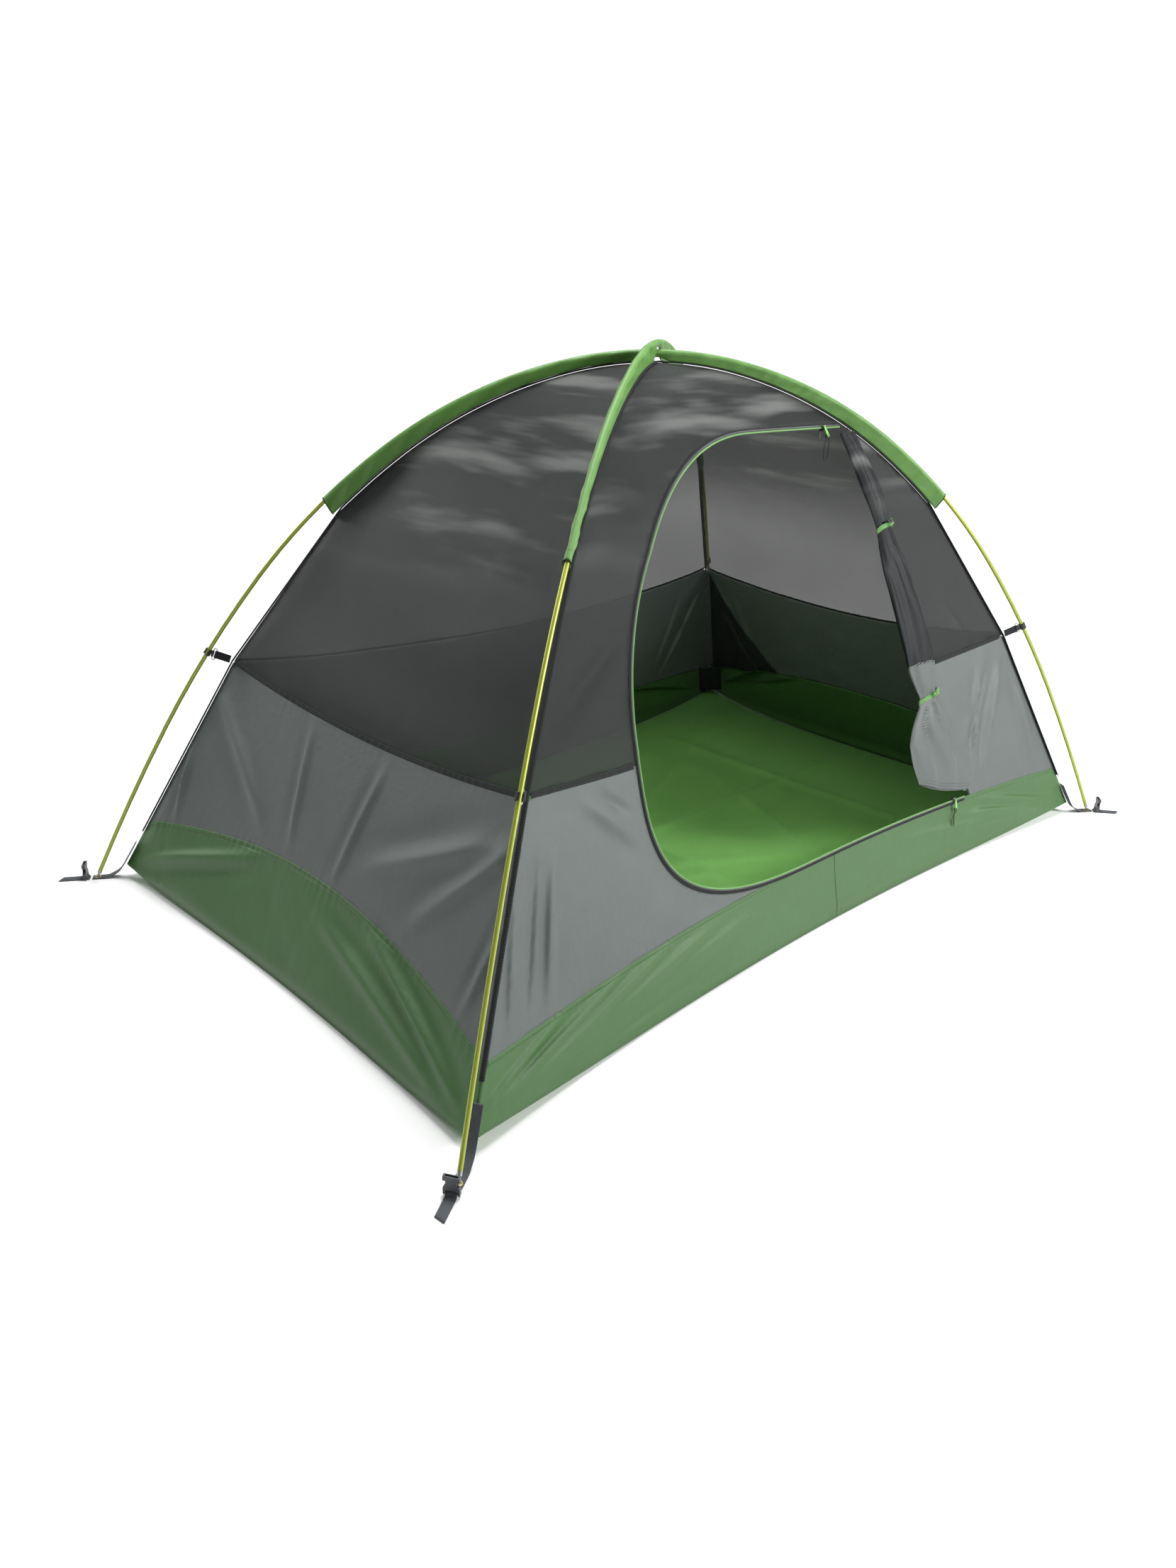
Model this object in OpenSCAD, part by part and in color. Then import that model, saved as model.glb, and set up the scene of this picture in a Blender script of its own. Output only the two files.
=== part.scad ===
// Two-person dome tent pitched on two crossed shock-corded poles.
// Frame: X along the long side, +Z up, the door on the -Y side, origin on the ground
// under the middle. Corners run front right, front left, back left, back right.

/* [Poles] */
// Distance between the pole feet along the long side
foot_span = 2100; // [2000:10:2200]
// Length of one of the nine sections of a pole
section_len = 392; // [385:1:400]
// Outside diameter of the pole tube
pole_d = 8.5; // [7.5:0.5:9.5]
// Wall of the pole tube
pole_wall = 0.7; // [0.5:0.1:0.9]
// Bends of the lower pole: half its middle section, then the four sections down to a foot
under_bends = [13.2, 22.0, 16.2, 8.6, 4.4]; // [3:0.1:25]
// Bends of the pole that passes over it
over_bends = [15.8, 21.7, 14.3, 6.9, 3.7]; // [3:0.1:25]
// Length of the inserts that join the sections
ferrule_len = 100; // [60:10:140]
// Length of bare tip below the tube
tip_len = 18; // [14:1:24]

/* [Canopy] */
// How far the canopy's ridges hang inside the poles
ridge_drop = 30; // [26:1:34]
// Distance along the pole from its top to a sleeve's end
sleeve_end = 769; // [740:1:800]
// Radius and height of the corner where a pole clip is sewn on
clip_corner = [900, 490]; // [480:1:910]
// Radius and height of a bottom corner of the tent
base_corner = [1172, 28]; // [20:1:1180]
// How deep the long walls curve in, as a share of their width
long_sag = 0.034; // [0.02:0.001:0.045]
// How deep the short walls curve in, as a share of their width
short_sag = 0.022; // [0.015:0.001:0.03]
// Height of the tub floor's seam at the corners
seam_z = 124; // [100:1:150]
// Rise of that seam in the middle of a long and of a short wall
seam_rise = [16, 75]; // [0:1:90]
// Dip of the seam between wall and netting in the middle of a long and of a short wall
band_dip = [42, 36]; // [10:1:60]
// Thickness of a cloth panel's solid
cloth = 2; // [1.5:0.1:2.5]

/* [Door] */
// Centre of the door's round side, across and up
door_centre = [60, 455]; // [40:1:480]
// Width of the round side and height of its upper half
door_round = [540, 518]; // [480:1:560]
// Where the hinge seam starts at the top and ends at the bottom, across the wall
door_hinge = [372, 585]; // [350:1:600]
// How far the hinge seam bows towards the opening
hinge_bow = 42; // [20:1:60]
// Width of the zip tape
zip_w = 12; // [10:1:16]

/* [Corner hardware] */
// Width of the webbing at the feet
web_w = 20; // [16:1:22]
// Thickness of the webbing
web_t = 1.6; // [1.2:0.1:2]
// Distance from a foot to its buckle's bar
buckle_out = 24; // [22:1:30]
// Height, width and thickness of a buckle
buckle_size = [31, 27, 7]; // [6:1:36]
// Turn of each corner's free strap end
strap_turn = [-20, 0, 0, 8]; // [-25:1:25]
// Distance along the pole from its top to a pole clip
clip_along = 1177; // [1150:1:1200]
// Width of a pole clip along the pole
clip_w = 13; // [10:1:16]

/* [Hidden] */
$fn = 32;

// ---- Pole curve: arcs in an upright plane, given as [distance out, height] ----
mean_bends = (under_bends + over_bends) / 2;
function piece_len(k) = k == 0 ? section_len / 2 : section_len;
function piece_from(k) = k == 0 ? 0 : section_len * (k - 0.5);
function piece_radius(b, k) = piece_len(k) * 180 / (b[k] * PI);
function steepness(b, k) = k == 0 ? 0 : steepness(b, k - 1) + b[k - 1];
function arc_step(b, k, a0, a1) = piece_radius(b, k) * [sin(a1) - sin(a0), cos(a1) - cos(a0)];
function piece_start(b, k) = k == 0 ? [0, 0]
    : piece_start(b, k - 1) + arc_step(b, k - 1, steepness(b, k - 1), steepness(b, k));
function reach(b) = piece_start(b, 5)[0];
function rise(b) = -piece_start(b, 5)[1];
function piece_at(s) = s < section_len / 2 ? 0 : min(4, 1 + floor(s / section_len - 0.5));
function slope_at(b, s) = let (k = piece_at(s))
    steepness(b, k) + b[k] * (s - piece_from(k)) / piece_len(k);
function pole_at(b, s) = let (k = piece_at(s))
    piece_start(b, k) + arc_step(b, k, steepness(b, k), slope_at(b, s)) + [0, rise(b)];
function outward(b, s) = [sin(slope_at(b, s)), cos(slope_at(b, s))];

foot_r = reach(mean_bends);
dir_x = foot_span / 2 / foot_r;
dir_y = sqrt(1 - dir_x * dir_x);
CORNERS = [[1, -1], [-1, -1], [-1, 1], [1, 1]];
function corner_turn(i) = atan2(CORNERS[i][1] * dir_y, CORNERS[i][0] * dir_x);
function corner_bends(i) = i % 2 == 0 ? under_bends : over_bends;

// ---- Canopy surface: ridges in the upright planes, walls that curve in between ----
ridge_steps = 12;
ridge_curve = [for (i = [ridge_steps:-1:0]) let (s = sleeve_end * i / ridge_steps)
    pole_at(mean_bends, s) - ridge_drop * outward(mean_bends, s)];
sleeve_z = ridge_curve[0][1];
ridge_points = concat([[base_corner[0], -10], base_corner, clip_corner], ridge_curve);
ridge_table = [for (p = ridge_points) [p[1], p[0]]];
lean_table = concat([[0, 30.5], [clip_corner[1], 33]],
    [for (i = [ridge_steps:-1:0]) [ridge_curve[ridge_steps - i][1],
        90 - slope_at(mean_bends, sleeve_end * i / ridge_steps)]]);
function ridge_r(z) = lookup(z, ridge_table);
function lean(z) = lookup(z, lean_table);
function lerp(a, b, t) = a + (b - a) * t;
// s runs -1 to 1 across a wall, z is the height and e the distance outside the cloth
function long_point(s, z, e) = let (r = ridge_r(z) + e * cos(lean(z)), x = r * dir_x)
    [s * x, -(r * dir_y - long_sag * 2 * x * (1 - s * s)), z + e * sin(lean(z))];
function short_point(s, z, e) = let (r = ridge_r(z) + e * cos(lean(z)), y = r * dir_y)
    [-(r * dir_x - short_sag * 2 * y * (1 - s * s)), -s * y, z + e * sin(lean(z))];
function wall_point(w, s, z, e) = w == 0 ? long_point(s, z, e) : short_point(s, z, e);
function base_z(s) = base_corner[1] * pow(abs(s), 4);
function tub_z(w, s) = seam_z + seam_rise[w] * (1 - s * s);
function band_z(w, s) = clip_corner[1] - band_dip[w] * (1 - s * s);
wall_cols = [20, 14];
function columns(w, from = -1, to = 1) = [for (i = [0:wall_cols[w]]) lerp(from, to, i / wall_cols[w])];

// A closed sheet between two grids of points; rows run up and columns to the right, seen
// from the outer side
module sheet(inner, outer) {
    rows = len(inner);
    cols = len(inner[0]);
    count = rows * cols;
    points = [for (grid = [inner, outer]) for (row = grid) each row];
    function at(g, i, j) = g * count + i * cols + j;
    function pair(a, b, c, d) = [[a, b, c], [a, c, d]];
    faces = [
        for (i = [0:rows - 2], j = [0:cols - 2])
            each pair(at(1, i, j), at(1, i + 1, j), at(1, i + 1, j + 1), at(1, i, j + 1)),
        for (i = [0:rows - 2], j = [0:cols - 2])
            each pair(at(0, i, j), at(0, i, j + 1), at(0, i + 1, j + 1), at(0, i + 1, j)),
        for (j = [0:cols - 2])
            each pair(at(0, 0, j), at(1, 0, j), at(1, 0, j + 1), at(0, 0, j + 1)),
        for (j = [0:cols - 2]) each pair(at(0, rows - 1, j), at(0, rows - 1, j + 1),
            at(1, rows - 1, j + 1), at(1, rows - 1, j)),
        for (i = [0:rows - 2])
            each pair(at(0, i, 0), at(0, i + 1, 0), at(1, i + 1, 0), at(1, i, 0)),
        for (i = [0:rows - 2]) each pair(at(0, i, cols - 1), at(1, i, cols - 1),
            at(1, i + 1, cols - 1), at(0, i + 1, cols - 1))
    ];
    polyhedron(points, faces, convexity = 6);
}

// A closed tube through rings of points, each turning left as seen from its end
module loft(rings) {
    n = len(rings[0]);
    m = len(rings);
    points = [for (ring = rings) each ring];
    faces = [
        for (i = [0:m - 2], j = [0:n - 1]) let (k = (j + 1) % n)
            each [[i * n + j, (i + 1) * n + k, i * n + k], [i * n + j, (i + 1) * n + j, (i + 1) * n + k]],
        [for (j = [0:n - 1]) j],
        [for (j = [n - 1:-1:0]) (m - 1) * n + j]
    ];
    polyhedron(points, faces, convexity = 6);
}

// A round cord through a list of points, with ring frames that lean on one side vector
module cord(path, radius, side) {
    last = len(path) - 1;
    function unit(v) = v / norm(v);
    function along(i) = unit(path[min(i + 1, last)] - path[max(i - 1, 0)]);
    loft([for (i = [0:last]) let (t = along(i), a = unit(cross(side, t)), b = cross(t, a))
        [for (q = [0:45:315]) path[i] + radius * (cos(q) * a + sin(q) * b)]]);
}

module wall_sheet(w, low, high, rows, e0 = 0, e1 = cloth, cols = []) {
    across = len(cols) > 0 ? cols : columns(w);
    function grid(e) = [for (i = [0:rows]) [for (s = across)
        wall_point(w, s, lerp(low(s), high(s), i / rows), e)]];
    sheet(grid(e0), grid(e1));
}

module opposite() rotate([0, 0, 180]) children();
module at_corner(i) rotate([0, 0, corner_turn(i)]) children();
// Lays a flat [distance out, height] drawing into the upright plane of a corner
module upright() rotate([90, 0, 0]) children();

// ---- Poles ----
module pole_arc(b, from, to) {
    k = piece_at((from + to) / 2);
    a0 = slope_at(b, from + 0.01);
    a1 = slope_at(b, to - 0.01);
    centre = piece_start(b, k) + [0, rise(b)] - piece_radius(b, k)
        * [sin(steepness(b, k)), cos(steepness(b, k))];
    upright() translate(centre) rotate_extrude(angle = a1 - a0, start = 90 - a1, $fn = 96)
        translate([piece_radius(b, k), 0]) children();
}

module ring_profile(outer, inner) difference() {
    circle(outer);
    circle(inner);
}

// Section k of both poles on both sides; the tube stops short of the tip
module pole_sections(k) {
    from = piece_from(k);
    to = from + piece_len(k) - (k == 4 ? tip_len + 2 : 0);
    color("yellowgreen")
    for (i = [0:3]) at_corner(i) pole_arc(corner_bends(i), from + (k == 0 ? 0 : 0.15), to - 0.15)
        ring_profile(pole_d / 2, pole_d / 2 - pole_wall);
}
module pole_tip_sections() pole_sections(4);
module pole_lower_sections() pole_sections(3);
module pole_upper_sections() pole_sections(2);
module pole_shoulder_sections() pole_sections(1);
module pole_middle_sections() {
    color("yellowgreen")
    for (i = [0, 1]) at_corner(i) {
        b = corner_bends(i);
        upright() translate([0, rise(b) - piece_radius(b, 0)])
            rotate_extrude(angle = 2 * b[0] - 0.1, start = 90.05 - b[0], $fn = 96)
            translate([piece_radius(b, 0), 0])
            ring_profile(pole_d / 2, pole_d / 2 - pole_wall);
    }
}

module pole_ferrules() {
    outer = pole_d / 2 - pole_wall - 0.1;
    color("silver")
    for (i = [0:3], k = [1:4], side = [-1, 1]) at_corner(i) {
        joint = piece_from(k);
        pole_arc(corner_bends(i), min(joint, joint + side * ferrule_len / 2),
            max(joint, joint + side * ferrule_len / 2)) ring_profile(outer, outer - 0.8);
    }
}

// A turned tip: round nose and pin, a shoulder as wide as the tube, and a plug inside it
module pole_tips() {
    plug_r = pole_d / 2 - pole_wall - 0.1;
    nose_r = 2.5;
    color("silver")
    for (i = [0:3]) at_corner(i) {
        a = slope_at(corner_bends(i), 4.49 * section_len);
        translate([reach(corner_bends(i)) - nose_r / tan(a), 0, nose_r]) rotate([0, a - 90, 0]) {
            sphere(nose_r);
            cylinder(h = tip_len - 6, r = nose_r);
            translate([0, 0, tip_len - 8]) cylinder(h = 7, r = pole_d / 2);
            translate([0, 0, tip_len - 2]) cylinder(h = 24, r = plug_r);
        }
    }
}

module shock_cords() {
    cord_r = 1.2;
    color("dimgray")
    for (i = [0:3], k = [0:4]) at_corner(i)
        pole_arc(corner_bends(i), piece_from(k), piece_from(k) + piece_len(k) - (k == 4 ? 50 : 0))
            circle(cord_r, $fn = 16);
}

// ---- Cloth ----
module floor() {
    edge = 1;
    function point(u, v, z) = let (
        long_x = base_corner[0] * dir_x - edge,
        long_y = base_corner[0] * dir_y - edge)
        [u * (long_x - short_sag * 2 * long_y * (1 - v * v)),
         v * (long_y - long_sag * 2 * long_x * (1 - u * u)),
         base_corner[1] * pow(u, 4) * pow(v, 4) + z];
    function grid(z) = [for (v = columns(1)) [for (u = columns(0)) point(u, v, z)]];
    color("darkolivegreen") sheet(grid(0), grid(1.5));
}

module tub_wall(w) color("olivedrab")
    wall_sheet(w, function (s) base_z(s), function (s) tub_z(w, s), 2);
module tub_wall_front() tub_wall(0);
module tub_wall_back() opposite() tub_wall(0);
module tub_wall_left() tub_wall(1);
module tub_wall_right() opposite() tub_wall(1);

module lower_wall(w) color("slategray")
    wall_sheet(w, function (s) tub_z(w, s), function (s) band_z(w, s), 4);
module lower_wall_front() difference() {
    lower_wall(0);
    door_cut();
}
module lower_wall_back() opposite() lower_wall(0);
module lower_wall_left() lower_wall(1);
module lower_wall_right() opposite() lower_wall(1);

// Netting from the band up to the top, where the ridges close in
module mesh_panel(w) {
    straight_rows = 4;
    function row_z(i, s) = i <= straight_rows
        ? lerp(band_z(w, s), sleeve_z, i / straight_rows)
        : ridge_curve[i - straight_rows][1];
    function grid(e) = [for (i = [0:straight_rows + ridge_steps - 1]) [for (s = columns(w))
        wall_point(w, s, row_z(i, s), e)]];
    color("dimgray") sheet(grid(0), grid(cloth));
}
module mesh_panel_front() difference() {
    mesh_panel(0);
    door_cut();
}
module mesh_panel_back() opposite() mesh_panel(0);
module mesh_panel_left() mesh_panel(1);
module mesh_panel_right() opposite() mesh_panel(1);

// Sleeve: a tube round the pole and a web down to the ridge, open where the other pole
// crosses
module pole_sleeve(first, b, gap) {
    tube_r = 7;
    web_half = 0.5;
    binding_top = 6.1;
    steps = 14;
    spans = [[0, section_len / 2], [section_len / 2, 1.5 * section_len],
        [1.5 * section_len, sleeve_end]];
    // The web's lower edge keeps to the ridge binding and its upper edge to the tube
    function along(t) = lerp(gap, sleeve_end - 3, t / steps);
    function low(s) = pole_at(mean_bends, s) - (ridge_drop - binding_top) * outward(mean_bends, s);
    function high(s) = pole_at(b, s) - (tube_r + 0.2) * outward(b, s);
    function row(s, y) = [for (p = [low(s), high(s)]) [p[0], y, p[1]]];
    function grid(y) = [for (t = [0:steps]) row(along(t), y)];
    color("olivedrab")
    for (i = [first, first + 2]) at_corner(i) {
        for (span = spans) pole_arc(b, span[0] + 0.02, span[1] - 0.02)
            ring_profile(tube_r, tube_r - 1);
        sheet(grid(-web_half), grid(web_half));
    }
}
module pole_sleeve_under() pole_sleeve(0, under_bends, 2);
module pole_sleeve_over() pole_sleeve(1, over_bends, 14);

// Tape that covers each ridge seam, from the top to just above the webbing
module ridge_binding() {
    half = 4;
    low_z = 72;
    path = concat([for (z = [low_z, 200, 350]) [ridge_r(z), z]], [clip_corner],
        [for (i = [0:ridge_steps - 1]) ridge_curve[i]]);
    function ring(p) = let (a = lean(p[1]), n = [cos(a), sin(a)], q = p + 2.5 * n, o = p + 5.4 * n)
        [[q[0], -half, q[1]], [q[0], half, q[1]], [o[0], half, o[1]], [o[0], -half, o[1]]];
    color("dimgray")
    for (i = [0:3]) at_corner(i) loft([for (p = path) ring(p)]);
}

// Tape round the tent between the walls and the netting
module wall_binding() {
    half = 6;
    clear = 0.985;
    module band(w) wall_sheet(w, function (s) band_z(w, s) - half,
        function (s) band_z(w, s) + half, 1, 2.5, 4, columns(w, -clear, clear));
    color("dimgray") {
        difference() {
            band(0);
            door_cut(zip_w + 3);
        }
        opposite() band(0);
        band(1);
        opposite() band(1);
    }
}

// Small netting pocket hung across the back right corner
module corner_pocket() {
    top_z = 133;
    drop = 88;
    along_x = 60;
    along_y = 55;
    inset = 7;
    clear = [5, 9];
    function edge(z) = let (r = ridge_r(z) - inset) [[r * dir_x - clear[0], r * dir_y - along_y, z],
        [r * dir_x - along_x, r * dir_y - clear[1], z]];
    function grid(d) = [for (z = [top_z - drop, top_z]) [for (p = edge(z)) p - [d, d, 0]]];
    color("dimgray") sheet(grid(1.2), grid(0));
}

// Netting triangles that hang inside the short walls from one corner
module gear_pockets() {
    cols = 6;
    end_s = 0.5;
    module triangle() {
        function span(s) = lerp(1, 0, (0.97 - s) / (0.97 - end_s));
        function low(s) = tub_z(1, s) + 3;
        function high(s) = lerp(low(s) + 6, 478, span(s));
        wall_sheet(1, function (s) low(s), function (s) high(s), 2, -4, -2.5,
            [for (i = [0:cols]) lerp(end_s, 0.97, i / cols)]);
    }
    color("dimgray") {
        triangle();
        opposite() triangle();
    }
}

// ---- Door ----
function front_s(x, z) = x / (ridge_r(z) * dir_x);
function on_front(x, z, e) = long_point(front_s(x, z), z, e);
function door_base(x) = tub_z(0, front_s(x, seam_z)) + 5;
function hinge_x(u) = lerp(door_hinge[0], door_hinge[1], u) - hinge_bow * 4 * u * (1 - u);
door_top = door_centre[1] + door_round[1];
lower_half = door_centre[1] - door_base(door_centre[0]);
round_steps = 20;
// Zip side of the door: along the base, round the left side and back along the top
function zip_line(m, from_x, to_x) = concat(
    [for (t = [0:6]) let (x = lerp(from_x, door_centre[0], t / 6)) [x, door_base(x) - m]],
    [for (t = [1:round_steps]) let (a = 90 * t / round_steps) door_centre
        - [(door_round[0] + m) * pow(sin(a), 2 / 3), (lower_half + m) * pow(cos(a), 2 / 3)]],
    [for (t = [1:round_steps]) let (a = 90 * t / round_steps) door_centre
        + [-(door_round[0] + m) * cos(a), (door_round[1] + m) * sin(a)]],
    [for (t = [1:3]) [lerp(door_centre[0], to_x, t / 3), door_top + m]]);
function hinge_line(m) = [for (t = [0:8]) let (u = t / 8)
    [hinge_x(u) + m, lerp(door_top, door_base(door_hinge[1]), u)]];
module door_cut(margin = 8) translate([0, -120, 0]) upright() linear_extrude(560)
    polygon(concat(zip_line(margin, door_hinge[1] - 8, door_hinge[0] - 8), hinge_line(0)));

module door_zip_tape() {
    inner = zip_line(0, door_hinge[1] - 20, door_hinge[0] - 26);
    outer = zip_line(zip_w, door_hinge[1] - 20, door_hinge[0] - 26);
    function grid(e) = [for (line = [inner, outer]) [for (p = line) on_front(p[0], p[1], e)]];
    color("yellowgreen") sheet(grid(3.5), grid(5.5));
}

// Left and right edge and half thickness of the rolled door at each height
roll_left = [[165, 430], [200, 380], [240, 362], [330, 384], [385, 426], [455, 388], [560, 360],
    [670, 344], [757, 352], [840, 330], [940, 322]];
roll_right = [[165, 575], [240, 548], [340, 502], [385, 474], [455, 476], [560, 452], [670, 420],
    [757, 394], [840, 386], [940, 368]];
roll_thick = [[165, 7], [240, 14], [340, 15], [385, 10], [455, 16], [670, 17], [757, 11],
    [840, 13], [940, 8]];
roll_back = 8;
roll_split = 458;
function roll_ring(z, grow) = let (
    left = lookup(z, roll_left),
    right = lookup(z, roll_right),
    half = lookup(z, roll_thick),
    mid = (left + right) / 2,
    width = (right - left) / 2)
    [for (q = [0:30:330]) on_front(mid + (width + grow) * cos(q), z,
        roll_back + half - (half + grow) * sin(q))];
module roll_part(heights) loft([for (z = heights) roll_ring(z, 0)]);
tie_heights = [385, 757];
mesh_rows = [roll_split + 1, 500, 560, 615, 670, 714, 748, tie_heights[1], 766, 800, 840, 890, 940];
wall_rows = [165, 185, 210, 240, 285, 330, 358, 376, tie_heights[0], 394, 420, roll_split];
module door_roll_mesh() color("darkslategray") roll_part(mesh_rows);
module door_roll_wall() color("slategray") roll_part(wall_rows);

module door_tie(z) color("yellowgreen") difference() {
    loft([roll_ring(z - 5, 3.2), roll_ring(z, 3.2), roll_ring(z + 5, 3.2)]);
    loft([roll_ring(z - 9, 2), roll_ring(z, 2), roll_ring(z + 9, 2)]);
}
module door_tie_lower() door_tie(tie_heights[0]);
module door_tie_upper() door_tie(tie_heights[1]);

// Small turned toggle that the tie's loop is pulled over
module tie_toggle(z, tint) {
    mid = (lookup(z, roll_left) + lookup(z, roll_right)) / 2;
    front = on_front(mid, z, roll_back + 2 * lookup(z, roll_thick) + 12);
    len_half = 11;
    color(tint) translate(front) rotate([0, 90, 0]) rotate_extrude()
        polygon([[0, -len_half], [2.2, -len_half], [3, -len_half + 1.5], [3, -3], [2, -1.5],
            [2, 1.5], [3, 3], [3, len_half - 1.5], [2.2, len_half], [0, len_half]]);
}
module tie_toggle_lower() tie_toggle(tie_heights[0], "yellowgreen");
module tie_toggle_upper() tie_toggle(tie_heights[1], "black");

// Zip sliders ride on the tape; each is two plates and a nose round the tape's inner edge
slider_x = [292, 520];
function slider_spot(upper) = upper ? on_front(slider_x[0], door_top, 3.5)
    : on_front(slider_x[1], door_base(slider_x[1]), 3.5);
function slider_step(upper) = upper ? on_front(slider_x[0] - 30, door_top, 3.5)
    : on_front(slider_x[1] - 30, door_base(slider_x[1] - 30), 3.5);
// Axes of a slider: along the zip, into the tent and up the wall, and its place
function slider_axes(upper) = let (
    p = slider_spot(upper),
    t = p - slider_step(upper),
    across = t / norm(t),
    up = long_point(0.3, p[2] + 10, 0) - long_point(0.3, p[2], 0),
    into = cross(up, across),
    deep = into / norm(into))
    [across, deep, cross(across, deep), p];
module at_slider(upper) {
    a = slider_axes(upper);
    multmatrix([for (k = [0:2]) [a[0][k], a[1][k], a[2][k], a[3][k]]]) children();
}
plate_y = 2.7;
module zip_slider(upper) {
    tape_side = upper ? 1 : -1;
    color("silver") at_slider(upper) {
        for (side = [-1, 1]) translate([-5, side * (plate_y + 0.6) - 0.6, tape_side > 0 ? -6.5 : -4.5])
            cube([10, 1.2, 11]);
        // Nose that joins the plates beside the tape
        translate([-2, -plate_y - 1, tape_side > 0 ? -6.5 : 4]) cube([4, 2 * plate_y + 2, 2.5]);
        // Bridges that the pulls hang on
        for (side = upper ? [-1, 1] : [-1]) translate([0, side * (plate_y + 1.2), 0]) {
            for (x = [-1, 1]) translate([x * 3.4 - 0.7, side > 0 ? -0.2 : -3, -0.7])
                cube([1.4, 3.2, 1.4]);
            translate([0, side * 2.9, 0]) rotate([0, 90, 0]) cylinder(h = 8.2, r = 0.7, center = true);
        }
    }
}
module zip_slider_upper() zip_slider(true);
module zip_slider_lower() zip_slider(false);

// A flat pull: a barrel round the bridge's bar, a blade and an end hole for a cord
bar_y = -plate_y - 4.1;
pull_len = [22, 20];
module pull_blade(len) {
    thick = 1.2;
    difference() {
        union() {
            rotate([0, 90, 0]) cylinder(h = 5, r = 1.8, center = true);
            translate([0, thick / 2, 0]) rotate([90, 0, 0]) linear_extrude(thick) difference() {
                hull() {
                    translate([-2.5, -2]) square([5, 2]);
                    translate([0, -len]) circle(3.7);
                }
                translate([0, -len + 1]) circle(1.6);
            }
        }
        rotate([0, 90, 0]) cylinder(h = 6, r = 0.9, center = true);
    }
}
module upper_pull_outer() color("yellowgreen") at_slider(true)
    translate([0, bar_y, 0]) pull_blade(pull_len[0]);
module upper_pull_inner() color("black") at_slider(true)
    translate([0, -bar_y, 0]) rotate([37, 0, 0]) pull_blade(pull_len[0]);
module lower_pull() color("yellowgreen") at_slider(false)
    translate([0, bar_y, 0]) pull_blade(pull_len[1]);

// Loops of cord knotted through the pulls' end holes: [across, out of the wall, up] from
// the hole; the upper one hangs free in the doorway and the lower one lies on the wall
upper_loop = [[0, -2, 1], [0, 0, 0], [1, 2, -2], [3, 1, -9], [6, -1, -18], [8, -2, -28],
    [8, -2, -38], [6, -2, -47], [2, -2, -52], [-3, -2, -51], [-6, -2, -45], [-7, -2, -36],
    [-6, -2, -26], [-4, -2, -16], [-2, -3, -8], [0, -4, -3]];
lower_loop = [[0, -2, 1], [0, 0, 0], [-1, 2, -2], [-5, 0, -9], [-10, -3, -17], [-14, -5, -26],
    [-16, -6, -34], [-15, -6, -41], [-10, -6, -43], [-6, -6, -38], [-4, -6, -29], [-2, -6, -19],
    [-1, -5, -9], [0, -4, -4]];
loop_r = 0.9;
module upper_pull_cord() {
    axes = slider_axes(true);
    hole = axes[3] + bar_y * axes[1] - (pull_len[0] - 1) * axes[2];
    color("black") translate(hole) rotate([0, 0, atan2(axes[0][1], axes[0][0])])
        cord([for (p = upper_loop) [p[0], -p[1], p[2]]], loop_r, [0, 1, 0.01]);
}
module lower_pull_cord() color("yellowgreen") at_slider(false)
    translate([0, bar_y, 1 - pull_len[1]])
    cord([for (p = lower_loop) [p[0], -p[1], p[2]]], loop_r, [0, 1, 0.01]);

// ---- Corner hardware ----
// A strap of the webbing, drawn edge on along [distance, height] points
module strap(path, width, thick) {
    last = len(path) - 1;
    function normal(i) = let (d = path[min(i + 1, last)] - path[max(i - 1, 0)])
        [-d[1], d[0]] / norm(d) * thick / 2;
    upright() linear_extrude(width, center = true) polygon(concat(
        [for (i = [0:last]) path[i] + normal(i)], [for (i = [last:-1:0]) path[i] - normal(i)]));
}

bar_z = 5.4;
module corner_webbing() {
    half = web_t / 2;
    hole_r = 4.7;
    tail_len = 52;
    patch_z = 64;
    color("dimgray")
    for (i = [0:3]) at_corner(i) {
        // From the stitched patch on the canopy down to the foot
        difference() {
            strap([[ridge_r(patch_z) + 4, patch_z + 2], [base_corner[0] + 4, base_corner[1] + 2],
                [base_corner[0] + 20, 13], [base_corner[0] + 38, 3], [base_corner[0] + 46, half],
                [foot_r + 10, half]], web_w, web_t);
            translate([foot_r - 1.2, 0, -1]) cylinder(h = 4, r = hole_r);
        }
        // Free end: over the buckle's bar and out along the ground, its tip cut slanted
        translate([foot_r, 0, 0]) rotate([0, 0, strap_turn[i]]) difference() {
            strap([[15, half], [buckle_out - 7, half], [buckle_out - 3.5, bar_z + 1.2],
                [buckle_out, bar_z + 3], [buckle_out + 3.5, bar_z + 1.2], [buckle_out + 7, half],
                [buckle_out + tail_len, half]], web_w - 1, web_t);
            translate([buckle_out + tail_len, -web_w / 2, -1]) rotate([0, 0, 30])
                cube([20, 60, 4], center = true);
        }
    }
}

module corner_eyelets() {
    color("goldenrod")
    for (i = [0:3]) at_corner(i) translate([foot_r - 1.2, 0, 0]) rotate_extrude()
        polygon([[3.9, 0.1], [4.6, 0.1], [4.6, web_t + 0.05], [7.5, web_t + 0.05],
            [7.1, web_t + 0.8], [3.9, web_t + 0.8]]);
}

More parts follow.
